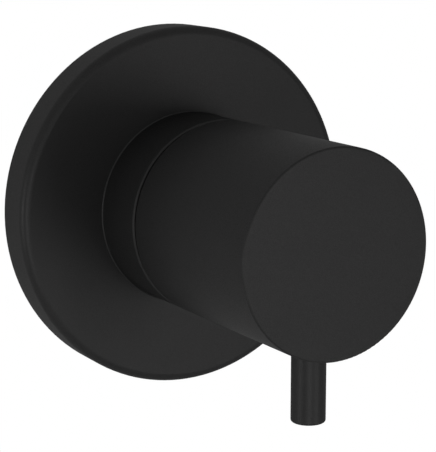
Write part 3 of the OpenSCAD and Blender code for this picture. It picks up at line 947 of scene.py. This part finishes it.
class Workshop:
    """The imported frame, the finishes and the tools that the pieces are made with."""

    def __init__(self, frame: dict[str, Any]) -> None:
        """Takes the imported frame.
        """
        self.nodes: dict[str, bpy.types.Object] = frame["nodes"]
        record = frame["record"]
        self.mounts = {mount["name"]: mount for mount in record["mounts"]}
        self.body_of = {
            node: body
            for body, members in record["behaviour"]["bodies"].items()
            for node in members
        }
        self.port_y = self.mounts["inlet_port"]["pos_m"][1]
        self.threads = ThreadCutter()

    def dress(self, name: str, finish: Finish) -> None:
        """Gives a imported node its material.

        Args:
            name: the node.
            finish: its finish.
        """
        node = self.nodes[name]
        for slot in node.material_slots:
            slot.material = finish.material()
        LOG.info("%s: %s", name, finish.name)

    def settle(self, piece: bpy.types.Object, name: str, node: str) -> None:
        """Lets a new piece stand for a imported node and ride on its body.

        Args:
            piece: the new piece.
            name: its name.
            node: the node that it stands for.
        """
        piece.name = name
        piece.data.name = name
        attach(piece, self.body_of[node])
        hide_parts(node)
        LOG.info("%s stands for %s with %d faces", name, node, len(piece.data.polygons))

    def threaded(
        self, node: str, name: str, finish: Finish, threads: Iterable[Thread]
    ) -> bpy.types.Object:
        """Copies a node, cuts its threads and lets the copy stand for it.

        Args:
            node: the node.
            name: the new piece's name.
            finish: its finish.
            threads: its threads.

        Returns:
            The new piece.
        """
        piece = Solid.copy_of(self.nodes[node], finish)
        cutters = [self.threads.cutter(thread, finish) for thread in threads]
        Solid.smoothed(Solid.combine(piece, cutters, "DIFFERENCE"))
        self.settle(piece, name, node)
        return piece


@dataclass(frozen=True)
class Finishes:
    """Every finish of the valve."""

    port_y: float
    black: Finish = PowderCoat("matt_black_coat", "black_coat", (0.009, 0.009, 0.009), 0.45, 0.75)
    cast: Finish = CastMetal(
        "blasted_cast_brass", "cast_brass", (0.50, 0.35, 0.15), 0.56, metallic=1.0
    )
    steel: Finish = TurnedMetal("stainless_steel", "steel", (0.56, 0.56, 0.55), 0.3, metallic=1.0)
    rubber: Finish = MouldedRubber("black_rubber", "rubber", (0.02, 0.02, 0.021), 0.62, 0.35)
    foam: Finish = CellFoam("grey_cell_foam", "foam", (0.05, 0.05, 0.055), 0.95, 0.2)
    plastic: Finish = MouldedPlastic("natural_acetal", "plastic", (0.74, 0.73, 0.68), 0.36)
    ceramic: Finish = LappedCeramic("lapped_alumina", "ceramic", (0.84, 0.83, 0.78), 0.16)
    brass_colour: Colour = (0.70, 0.50, 0.20)

    @property
    def brass(self) -> Finish:
        """Brass turned about the valve's axis."""
        return TurnedMetal("turned_brass", "brass", self.brass_colour, 0.3, metallic=1.0)

    @property
    def cut_brass(self) -> Finish:
        """The casting where it is turned about the valve's axis."""
        return TurnedMetal(
            "machined_cast_brass", "cast_brass", self.brass_colour, 0.34, metallic=1.0
        )

    @property
    def bored_brass(self) -> Finish:
        """The casting where it is turned about the ports' axis."""
        return TurnedMetal(
            "bored_cast_brass",
            "cast_brass",
            self.brass_colour,
            0.34,
            metallic=1.0,
            turning=Turning.PORTS,
            port_y=self.port_y,
        )


@dataclass(frozen=True)
class Casting:
    """The brass body: a blasted casting with its ports, neck and bores machined."""

    bulb_r: float = 17.5 * MM
    arm_r: float = 12.8 * MM
    arrow_h: float = 0.6 * MM
    arrow_l: float = 13 * MM
    arrow_head: float = 5.5 * MM
    arrow_bar: float = 1.8 * MM
    hex_across: float = 27 * MM
    hex_l: float = 9 * MM
    hex_bevel: float = 1.5 * MM
    port_face: float = 35 * MM
    port_lead: float = 1.2 * MM
    shoulder_w: float = 1 * MM
    neck_r: float = 15 * MM
    neck_bevel: float = 0.8 * MM
    neck_pitch: float = 1.5 * MM
    ring_recess_r: float = 11.42 * MM
    ring_recess_l: float = 2 * MM
    bonnet_bore_r: float = 10.5 * MM
    bonnet_bore_l: float = 8 * MM
    bonnet_pitch: float = 1 * MM
    cavity_r: float = 11.8 * MM
    seat_y: float = 49 * MM
    seat_hole_r: float = 6 * MM
    water_r: float = 4.5 * MM
    water_shift: float = 4 * MM
    over: float = 1 * MM
    pipe_pitch: float = 1.814 * MM
    pipe_depth_share: float = 0.64
    pipe_flank_deg: float = 27.5
    voxel: float = 0.42 * MM
    soft_steps: int = 22

    def build(self, shop: Workshop, finishes: Finishes) -> None:
        """Casts, machines and threads the body.

        Args:
            shop: the workshop.
            finishes: the finishes.
        """
        low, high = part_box("valve_body")
        shoulder_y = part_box("sleeve_carrier")[1].y
        back_y = high.y - self.arrow_h
        piece = self._blank(shop.port_y, shoulder_y, back_y, finishes.cast)
        front = self._disc(low.y - self.over, shoulder_y, 2 * self.bulb_r, finishes.cut_brass)
        Solid.combine(piece, [front], "DIFFERENCE")
        added = [
            self._neck(low.y, shoulder_y, finishes.cut_brass),
            self._hexagon(1, shop.port_y, finishes),
            self._hexagon(-1, shop.port_y, finishes),
            self._arrow(back_y, finishes.cast),
        ]
        Solid.combine(piece, added, "UNION")
        inlet, outlet = shop.mounts["inlet_port"], shop.mounts["outlet_port"]
        cuts = [
            self._chamber(low.y, shop.port_y, finishes.cut_brass),
            self._port(inlet, finishes.bored_brass),
            self._port(outlet, finishes.bored_brass),
            self._waterway(inlet, self.water_shift, self.seat_hole_r, finishes.bored_brass),
            self._waterway(outlet, -self.water_shift, -self._chamber_edge(), finishes.bored_brass),
        ]
        Solid.combine(piece, cuts, "DIFFERENCE")
        grooves = [
            shop.threads.cutter(self._pipe_thread(mount), finishes.bored_brass)
            for mount in (inlet, outlet)
        ]
        grooves.append(
            shop.threads.cutter(self._neck_thread(low.y, shoulder_y), finishes.cut_brass)
        )
        grooves.append(shop.threads.cutter(self._bonnet_thread(low.y), finishes.cut_brass))
        Solid.smoothed(Solid.combine(piece, grooves, "DIFFERENCE"))
        shop.settle(piece, "cast_body", "valve_body")

    def _chamber_edge(self) -> float:
        """How far off the valve's axis the outlet's waterway leaves the chamber."""
        return math.sqrt(self.cavity_r**2 - self.water_r**2) - self.over / 2

    def _blank(self, port_y: float, shoulder_y: float, back_y: float, finish: Finish) -> bpy.types.Object:
        """The raw casting, its round forms melted together.

        Args:
            port_y: the Y of the ports' axis.
            shoulder_y: the Y of the shoulder in front of the barrel.
            back_y: the Y of the bulb's flat back.
            finish: the finish.

        Returns:
            The closed blank.
        """
        barrel_r = self.neck_r + self.shoulder_w
        flat = math.acos((back_y - port_y) / self.bulb_r)
        arc = [flat + (math.pi - flat) * i / 40 for i in range(41)]
        bulb = [(0.0, back_y)]
        bulb += [
            (self.bulb_r * math.sin(a), port_y + self.bulb_r * math.cos(a)) for a in arc[:-1]
        ]
        bulb.append((0.0, port_y - self.bulb_r))
        piece = Solid.lathe("casting", bulb, finish, Solid.valve_axis())
        barrel = self._disc(shoulder_y - 2 * self.over, port_y, barrel_r, finish)
        arm_l = self.port_face - self.over
        arm = [(0.0, -arm_l), (self.arm_r, -arm_l), (self.arm_r, arm_l), (0.0, arm_l)]
        arms = Solid.lathe("arms", arm, finish, Solid.port_axis(1, port_y))
        Solid.combine(piece, [barrel, arms], "UNION")
        remesh = piece.modifiers.new("grain", "REMESH")
        remesh.mode = "VOXEL"
        remesh.voxel_size = self.voxel
        soften = piece.modifiers.new("soften", "SMOOTH")
        soften.factor = 0.5
        soften.iterations = self.soft_steps
        Solid.baked(piece)
        piece.data.materials.clear()
        piece.data.materials.append(finish.material())
        return piece

    def _disc(self, y0: float, y1: float, radius: float, finish: Finish) -> bpy.types.Object:
        """A plain cylinder on the valve's axis."""
        section = [(0.0, y0), (radius, y0), (radius, y1), (0.0, y1)]
        return Solid.lathe("disc", section, finish, Solid.valve_axis())

    def _neck(self, front_y: float, shoulder_y: float, finish: Finish) -> bpy.types.Object:
        """The turned neck in front of the shoulder."""
        bevel = self.neck_bevel
        section = [
            (0.0, front_y),
            (self.neck_r - bevel, front_y),
            (self.neck_r, front_y + bevel),
            (self.neck_r, shoulder_y + self.over),
            (0.0, shoulder_y + self.over),
        ]
        return Solid.lathe("neck", section, finish, Solid.valve_axis())

    def _hexagon(self, side: int, port_y: float, finishes: Finishes) -> bpy.types.Object:
        """One port's hexagon, its corners turned off at both ends.

        Args:
            side: 1 for the outlet, -1 for the inlet.
            port_y: the Y of the ports' axis.
            finishes: the finishes.

        Returns:
            The closed hexagon.
        """
        corner = self.hex_across / math.sqrt(3)
        start, end = self.port_face - self.hex_l, self.port_face
        axis = Solid.port_axis(side, port_y)
        corners = [
            (corner * math.cos(math.pi * i / 3), corner * math.sin(math.pi * i / 3))
            for i in range(6)
        ]
        hexagon = Solid.prism(
            "hexagon", corners, self.hex_l, finishes.cast, axis @ Matrix.Translation((0, 0, start))
        )
        half = self.hex_bevel / 2
        outline = [
            (0.0, start),
            (corner - self.hex_bevel, start),
            (corner, start + half),
            (corner, end - half),
            (corner - self.hex_bevel, end),
            (0.0, end),
        ]
        turned = Solid.lathe("turned", outline, finishes.bored_brass, axis)
        return Solid.combine(turned, [hexagon], "INTERSECT")

    def _arrow(self, back_y: float, finish: Finish) -> bpy.types.Object:
        """The raised arrow that points from the inlet to the outlet."""
        tip, bar, head = self.arrow_l / 2, self.arrow_bar / 2, self.arrow_head / 2
        neck = tip - self.arrow_head
        outline = [
            (-bar, -tip),
            (bar, -tip),
            (bar, neck),
            (head, neck),
            (0.0, tip),
            (-head, neck),
            (-bar, neck),
        ]
        turn = Matrix.Rotation(math.pi / 2, 4, "X")
        axis = Matrix.Translation((0, back_y + self.arrow_h, 0)) @ turn
        return Solid.prism("arrow", outline, 2 * self.arrow_h, finish, axis)

    def _chamber(self, front_y: float, port_y: float, finish: Finish) -> bpy.types.Object:
        """What is bored along the valve's axis: recess, thread's bore, chamber, seat's hole."""
        recess_y = front_y + self.ring_recess_l
        bore_y = recess_y + self.bonnet_bore_l
        end_y = port_y + self.water_shift
        section = [
            (0.0, front_y - self.over),
            (self.ring_recess_r, front_y - self.over),
            (self.ring_recess_r, recess_y),
            (self.bonnet_bore_r, recess_y),
            (self.bonnet_bore_r, bore_y),
            (self.cavity_r, bore_y),
            (self.cavity_r, self.seat_y),
            (self.seat_hole_r, self.seat_y),
            (self.seat_hole_r, end_y),
            (0.0, end_y),
        ]
        return Solid.lathe("chamber", section, finish, Solid.valve_axis())

    def _port(self, mount: dict[str, Any], finish: Finish) -> bpy.types.Object:
        """One port's bore with its lead-in."""
        radius, length = mount["dims"]["r_mm"] * MM, mount["dims"]["length_mm"] * MM
        mouth = abs(mount["pos_m"][2])
        wide = radius + self.port_face + self.over - mouth
        section = [
            (0.0, mouth - length),
            (radius, mouth - length),
            (radius, mouth),
            (wide, self.port_face + self.over),
            (0.0, self.port_face + self.over),
        ]
        side = 1 if mount["axis"][2] > 0 else -1
        return Solid.lathe("port", section, finish, Solid.port_axis(side, mount["pos_m"][1]))

    def _waterway(
        self, mount: dict[str, Any], shift: float, back: float, finish: Finish
    ) -> bpy.types.Object:
        """The narrow way from the bottom of one port towards the valve's axis.

        Args:
            mount: the port.
            shift: how far the way lies behind the port's axis.
            back: how far it runs past the valve's axis.
            finish: the finish.

        Returns:
            The closed cutter.
        """
        end = abs(mount["pos_m"][2]) - mount["dims"]["length_mm"] * MM + self.over
        section = [(0.0, -back), (self.water_r, -back), (self.water_r, end), (0.0, end)]
        side = 1 if mount["axis"][2] > 0 else -1
        y = mount["pos_m"][1] + shift
        return Solid.lathe("waterway", section, finish, Solid.port_axis(side, y), 96)

    def _pipe_thread(self, mount: dict[str, Any]) -> Thread:
        """The pipe thread in one port, cut from its mouth."""
        out = Vector(mount["axis"])
        start = Vector(mount["pos_m"]) + out * (self.port_lead + self.pipe_pitch)
        length = mount["dims"]["length_mm"] * MM + self.port_lead + self.pipe_pitch / 2
        return Thread(
            radius=mount["dims"]["r_mm"] * MM,
            pitch=self.pipe_pitch,
            start=start,
            along=-out,
            length=length,
            side=Side.BORE,
            flank_deg=self.pipe_flank_deg,
            depth_share=self.pipe_depth_share,
        )

    def _neck_thread(self, front_y: float, shoulder_y: float) -> Thread:
        """The thread on the neck that the sleeve's carrier screws onto."""
        return Thread.metric(
            radius=self.neck_r,
            pitch=self.neck_pitch,
            mouth=Vector((0, front_y, 0)),
            along=INTO_WALL,
            length=shoulder_y - front_y - self.neck_pitch / 2,
            side=Side.OUTSIDE,
        )

    def _bonnet_thread(self, front_y: float) -> Thread:
        """The thread in the neck that the headwork screws into."""
        return Thread.metric(
            radius=self.bonnet_bore_r,
            pitch=self.bonnet_pitch,
            mouth=Vector((0, front_y + self.ring_recess_l, 0)),
            along=INTO_WALL,
            length=self.bonnet_bore_l + self.bonnet_pitch,
            side=Side.BORE,
        )


@dataclass(frozen=True)
class Trim:
    """What shows in front of the wall: plate, sleeve, knob and pin lever."""

    black_nodes: tuple[str, ...] = ("wall_plate",)
    sleeve_wall: float = 2 * MM
    sleeve_pitch: float = 1 * MM
    thread_reach: float = 1 * MM
    pin_spot: float = 0.4 * MM
    knob_bore_r: float = 11 * MM
    hole_r: float = 2.55 * MM
    stud_r: float = 2.5 * MM
    stud_pitch: float = 0.8 * MM

    def build(self, shop: Workshop, finishes: Finishes) -> None:
        """Dresses the trim and threads the sleeve, the knob's side hole and the pin's stud.

        Args:
            shop: the workshop.
            finishes: the finishes.
        """
        for name in self.black_nodes:
            shop.dress(name, finishes.black)
        seat_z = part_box("knob")[0].z + self.pin_spot
        shop.threaded("sleeve", "threaded_sleeve", finishes.black, [self._sleeve()])
        shop.threaded("knob", "tapped_knob", finishes.black, [self._knob_hole(seat_z)])
        self._pin(shop, finishes, seat_z)

    def _sleeve(self) -> Thread:
        """The thread at the sleeve's back, which runs a little past the carrier's front."""
        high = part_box("sleeve")[1]
        return Thread.metric(
            radius=high.x - self.sleeve_wall,
            pitch=self.sleeve_pitch,
            mouth=Vector((0, high.y, 0)),
            along=-INTO_WALL,
            length=high.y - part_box("sleeve_carrier")[0].y + self.thread_reach - self.sleeve_pitch / 2,
            side=Side.BORE,
        )

    def _knob_hole(self, seat_z: float) -> Thread:
        """The thread from the pin's seat into the knob's bore, for stud and grub screw."""
        low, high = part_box("pin_lever")
        return Thread.metric(
            radius=self.hole_r,
            pitch=self.stud_pitch,
            mouth=Vector((0, (low.y + high.y) / 2, seat_z)),
            along=UP,
            length=-self.knob_bore_r - seat_z + self.stud_pitch,
            side=Side.BORE,
        )

    def _pin(self, shop: Workshop, finishes: Finishes, seat_z: float) -> None:
        """Threads the pin's stud, which is left bare where it goes into the knob."""
        low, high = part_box("pin_lever")
        stud = Thread.metric(
            radius=self.stud_r,
            pitch=self.stud_pitch,
            mouth=Vector((0, (low.y + high.y) / 2, high.z)),
            along=-UP,
            length=high.z - seat_z - self.stud_pitch / 2,
            side=Side.OUTSIDE,
        )
        pin = shop.threaded("pin_lever", "pin_with_stud", finishes.black, [stud])
        pin.data.materials.append(finishes.steel.material())
        for face in pin.data.polygons:
            face.material_index = 1 if face.center.z > seat_z + MERGE else 0


@dataclass(frozen=True)
class Gasket:
    """Foam ring behind the plate's rim, cut from sheet and pressed a little at its edges."""

    edge_r: float = 0.7 * MM
    width: float = 5 * MM
    steps: int = 180

    def build(self, shop: Workshop, finishes: Finishes) -> None:
        """Makes the ring with rounded edges.

        Args:
            shop: the workshop.
            finishes: the finishes.
        """
        low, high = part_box("wall_gasket")
        out_r = high.x
        in_r = out_r - self.width
        section = list(self._rounded(in_r, out_r, low.y, high.y))
        piece = Solid.lathe("foam_ring", section, finishes.foam, Solid.valve_axis(), self.steps)
        Solid.smoothed(piece)
        shop.settle(piece, "foam_gasket", "wall_gasket")

    def _rounded(self, r0: float, r1: float, y0: float, y1: float) -> Iterable[tuple[float, float]]:
        """The ring's section with round corners."""
        turn = self.edge_r
        middles = (
            (r1 - turn, y1 - turn, 0.0),
            (r0 + turn, y1 - turn, 90.0),
            (r0 + turn, y0 + turn, 180.0),
            (r1 - turn, y0 + turn, 270.0),
        )
        for r, y, first in middles:
            for i in range(5):
                angle = math.radians(first + 22.5 * i)
                yield r + turn * math.cos(angle), y + turn * math.sin(angle)


@dataclass(frozen=True)
class Headwork:
    """The sleeve's carrier and the headwork: turned brass, discs, rings, washers and screws."""

    sleeve_pitch: float = 1 * MM
    flats_l: float = 9 * MM
    carrier_bore_r: float = 15.05 * MM
    neck_pitch: float = 1.5 * MM
    bonnet_thread_r: float = 10.45 * MM
    bonnet_thread_l: float = 8 * MM
    bonnet_pitch: float = 1 * MM
    screw_r: float = 2 * MM
    screw_pitch: float = 0.7 * MM
    screw_thread_l: float = 14 * MM
    hole_r: float = 2.05 * MM
    hole_thread_l: float = 12.5 * MM
    grub_r: float = 2.5 * MM
    grub_pitch: float = 0.8 * MM
    brass: tuple[str, ...] = ("handle_adapter", "spindle_extension")
    rubber: tuple[str, ...] = (
        "plate_o_ring",
        "bonnet_o_ring",
        "spindle_o_ring_front",
        "spindle_o_ring_rear",
        "seat_seal",
    )
    ceramic: tuple[str, ...] = ("moving_disc", "fixed_disc")
    plastic: tuple[str, ...] = ("glide_ring", "thrust_washer")
    steel: tuple[str, ...] = ("circlip",)

    def build(self, shop: Workshop, finishes: Finishes) -> None:
        """Cuts the threads and dresses the inner pieces.

        Args:
            shop: the workshop.
            finishes: the finishes.
        """
        groups = (
            (self.brass, finishes.brass),
            (self.rubber, finishes.rubber),
            (self.ceramic, finishes.ceramic),
            (self.plastic, finishes.plastic),
            (self.steel, finishes.steel),
        )
        for names, finish in groups:
            for name in names:
                shop.dress(name, finish)
        shop.threaded("sleeve_carrier", "carrier_tube", finishes.brass, self._carrier())
        shop.threaded("bonnet", "threaded_bonnet", finishes.brass, [self._bonnet()])
        shop.threaded("spindle", "tapped_spindle", finishes.brass, [self._spindle_hole()])
        shop.threaded("adapter_screw", "long_screw", finishes.steel, [self._screw()])
        shop.threaded("grub_screw", "cup_point_screw", finishes.steel, [self._grub()])

    def _carrier(self) -> list[Thread]:
        """The carrier's threads: outside for the sleeve, inside for the body's neck."""
        low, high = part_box("sleeve_carrier")
        outer = Thread.metric(
            radius=high.z,
            pitch=self.sleeve_pitch,
            mouth=Vector((0, low.y, 0)),
            along=INTO_WALL,
            length=high.y - low.y - self.flats_l - self.sleeve_pitch,
            side=Side.OUTSIDE,
        )
        inner = Thread.metric(
            radius=self.carrier_bore_r,
            pitch=self.neck_pitch,
            mouth=Vector((0, high.y, 0)),
            along=-INTO_WALL,
            length=high.y - low.y + self.neck_pitch,
            side=Side.BORE,
        )
        return [outer, inner]

    def _bonnet(self) -> Thread:
        """The thread behind the bonnet's rubber ring, cut from the cage's side."""
        end_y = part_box("bonnet_o_ring")[1].y + self.bonnet_thread_l
        return Thread.metric(
            radius=self.bonnet_thread_r,
            pitch=self.bonnet_pitch,
            mouth=Vector((0, end_y, 0)),
            along=-INTO_WALL,
            length=self.bonnet_thread_l + self.bonnet_pitch,
            side=Side.OUTSIDE,
        )

    def _spindle_hole(self) -> Thread:
        """The tapped hole in the spindle's front end."""
        return Thread.metric(
            radius=self.hole_r,
            pitch=self.screw_pitch,
            mouth=Vector((0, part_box("spindle")[0].y, 0)),
            along=INTO_WALL,
            length=self.hole_thread_l,
            side=Side.BORE,
        )

    def _screw(self) -> Thread:
        """The thread on the long screw's end."""
        return Thread.metric(
            radius=self.screw_r,
            pitch=self.screw_pitch,
            mouth=Vector((0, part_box("adapter_screw")[1].y, 0)),
            along=-INTO_WALL,
            length=self.screw_thread_l,
            side=Side.OUTSIDE,
        )

    def _grub(self) -> Thread:
        """The thread all along the grub screw."""
        low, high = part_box("grub_screw")
        return Thread.metric(
            radius=self.grub_r,
            pitch=self.grub_pitch,
            mouth=Vector((0, (low.y + high.y) / 2, high.z)),
            along=-UP,
            length=high.z - low.z + self.grub_pitch,
            side=Side.OUTSIDE,
        )


@dataclass(frozen=True)
class Camera:
    """The photograph's camera, solved from the outlines of the plate, the knob and the pin."""

    azimuth_deg: float = -29.776
    elevation_deg: float = 11.137
    distance: float = 353.59 * MM
    aside: float = 10.652 * MM
    above: float = -5.513 * MM
    focal_px: float = 1647.2
    frame_px: float = 452.0
    sensor_mm: float = 36.0

    def build(self) -> None:
        """Creates the camera and makes it the scene's."""
        a, e = math.radians(self.azimuth_deg), math.radians(self.elevation_deg)
        right = Vector((math.cos(a), math.sin(a), 0.0))
        back = Vector(
            (math.sin(a) * math.cos(e), -math.cos(a) * math.cos(e), math.sin(e))
        )
        up = back.cross(right)
        data = bpy.data.cameras.new("photo_camera")
        data.sensor_width = self.sensor_mm
        data.lens = self.focal_px * self.sensor_mm / self.frame_px
        data.clip_start, data.clip_end = 0.01, 20.0
        camera = bpy.data.objects.new("photo_camera", data)
        turned = Matrix((right, up, back)).transposed().to_4x4()
        place = back * self.distance + right * self.aside + up * self.above
        camera.matrix_world = Matrix.Translation(place) @ turned
        bpy.context.scene.collection.objects.link(camera)
        bpy.context.scene.camera = camera


@dataclass(frozen=True)
class Lamp:
    """One square soft lamp that faces the valve."""

    name: str
    place: tuple[float, float, float]
    size: float
    power: float

    def build(self) -> None:
        """Adds the lamp."""
        data = bpy.data.lights.new(self.name, "AREA")
        data.shape = "SQUARE"
        data.size = self.size
        data.energy = self.power
        lamp = bpy.data.objects.new(self.name, data)
        lamp.location = self.place
        lamp.rotation_mode = "QUATERNION"
        lamp.rotation_quaternion = Vector(self.place).to_track_quat("Z", "Y")
        bpy.context.scene.collection.objects.link(lamp)


@dataclass(frozen=True)
class Studio:
    """White wall, pale floor, soft sky and lamps.

    The photo's dark coat is brightest where it mirrors the lower front, so the front lamps
    stand low. The lamp in the back lights only what the wall hides.
    """

    wall_w: float = 1.6
    wall_top: float = 1.2
    floor_z: float = -0.9
    floor_w: float = 8.0
    wall_grey: float = 0.8
    floor_grey: float = 0.9
    shadow_r: float = 0.6
    fade_w: float = 1.4
    near_glow: float = 0.4
    sky: float = 0.27
    lamps: tuple[Lamp, ...] = (
        Lamp("lamp_low_left", (-0.66, -1.42, -0.33), 0.6, 8.0),
        Lamp("lamp_low_right", (0.53, -1.47, -0.33), 0.6, 6.2),
        Lamp("lamp_side", (-1.59, -0.11, -0.17), 0.4, 8.4),
        Lamp("lamp_back", (0.6, 1.5, 1.0), 1.0, 20.0),
    )

    def build(self) -> None:
        """Builds the wall, the floor, the sky and the lamps."""
        side, near = self.wall_w / 2, self.floor_w / 2
        low, top = self.floor_z, self.wall_top
        wall = self._sheet("stage_wall", ((-side, 0, low), (side, 0, low), (side, 0, top), (-side, 0, top)))
        wall.data.materials.append(self._wall_paint())
        floor = self._sheet(
            "stage_floor", ((-near, -near, low), (near, -near, low), (near, near, low), (-near, near, low))
        )
        floor.data.materials.append(self._floor_paint())
        self._sky()
        for lamp in self.lamps:
            lamp.build()

    @staticmethod
    def _sheet(name: str, corners: Sequence[tuple[float, float, float]]) -> bpy.types.Object:
        """One flat four-sided sheet."""
        mesh = bpy.data.meshes.new(name)
        mesh.from_pydata([Vector(c) for c in corners], [], [(0, 1, 2, 3)])
        return Solid.of(name, mesh)

    @staticmethod
    def _seen(nodes: Nodes, straight: Value | float = 1.0) -> Value:
        """1 for rays that show a background: straight, mirrored or through glass.

        Args:
            nodes: the material's or the world's tree.
            straight: how much the straight ones count.

        Returns:
            The share of the background's own glow.
        """
        path = nodes.add("ShaderNodeLightPath").outputs
        camera, glossy, through = (
            Value(nodes, path[name])
            for name in ("Is Camera Ray", "Is Glossy Ray", "Is Transmission Ray")
        )
        return (camera * straight + glossy + through).clamped()

    @staticmethod
    def _paint(nodes: Nodes, grey: float, seen: Value) -> bpy.types.NodeSocket:
        """Matt paint that glows white for a share of the rays.

        Args:
            nodes: the material's tree.
            grey: how light the paint is.
            seen: the share.

        Returns:
            The shader's socket.
        """
        matt = nodes.add("ShaderNodeBsdfDiffuse", None, {"Color": (grey, grey, grey, 1.0)})
        glow = nodes.add("ShaderNodeEmission", None, {"Strength": 1.0})
        both = nodes.add("ShaderNodeMixShader", None, {0: seen, 1: matt.outputs[0], 2: glow.outputs[0]})
        return both.outputs[0]

    def _wall_paint(self) -> bpy.types.Material:
        """White from the room; from inside the wall it can't be seen and lets light through."""
        made = bpy.data.materials.new("wall_white")
        made.use_nodes = True
        nodes = Nodes(made.node_tree)
        room = self._paint(nodes, self.wall_grey, self._seen(nodes))
        clear = nodes.add("ShaderNodeBsdfTransparent")
        behind = nodes.add("ShaderNodeNewGeometry").outputs["Backfacing"]
        both = nodes.add("ShaderNodeMixShader", None, {0: behind, 1: room, 2: clear.outputs[0]})
        nodes.add("ShaderNodeOutputMaterial", None, {"Surface": both.outputs[0]})
        return made

    def _floor_paint(self) -> bpy.types.Material:
        """Pale matt floor, which keeps the valve's shadow and fades to white far off."""
        made = bpy.data.materials.new("floor_pale")
        made.use_nodes = True
        nodes = Nodes(made.node_tree)
        place = nodes.add("ShaderNodeTexCoord").outputs["Object"]
        length = nodes.value("ShaderNodeVectorMath", {"operation": "LENGTH"}, {0: place}, "Value")
        far = ((length - self.shadow_r) / self.fade_w + self.near_glow).clamped()
        paint = self._paint(nodes, self.floor_grey, self._seen(nodes, far))
        nodes.add("ShaderNodeOutputMaterial", None, {"Surface": paint})
        return made

    def _sky(self) -> None:
        """Even light from all round, and white where it is seen."""
        world = bpy.data.worlds.new("studio")
        world.use_nodes = True
        bpy.context.scene.world = world
        nodes = Nodes(world.node_tree)
        seen = self._seen(nodes)
        strength = seen + (1 - seen) * self.sky
        white = (1.0, 1.0, 1.0, 1.0)
        glow = nodes.add("ShaderNodeBackground", None, {"Color": white, "Strength": strength})
        nodes.add("ShaderNodeOutputWorld", None, {"Surface": glow.outputs[0]})


def main() -> None:
    """Loads the frame, builds every class in order and notes the sizes."""
    logging.basicConfig(level=logging.INFO, format="%(name)s: %(message)s")
    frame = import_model()
    shop = Workshop(frame)
    finishes = Finishes(shop.port_y)
    Camera().build()
    Trim().build(shop, finishes)
    Gasket().build(shop, finishes)
    Headwork().build(shop, finishes)
    Casting().build(shop, finishes)
    Studio().build()
    view = bpy.context.scene.view_settings
    view.view_transform = "Standard"


if __name__ == "__main__":
    main()
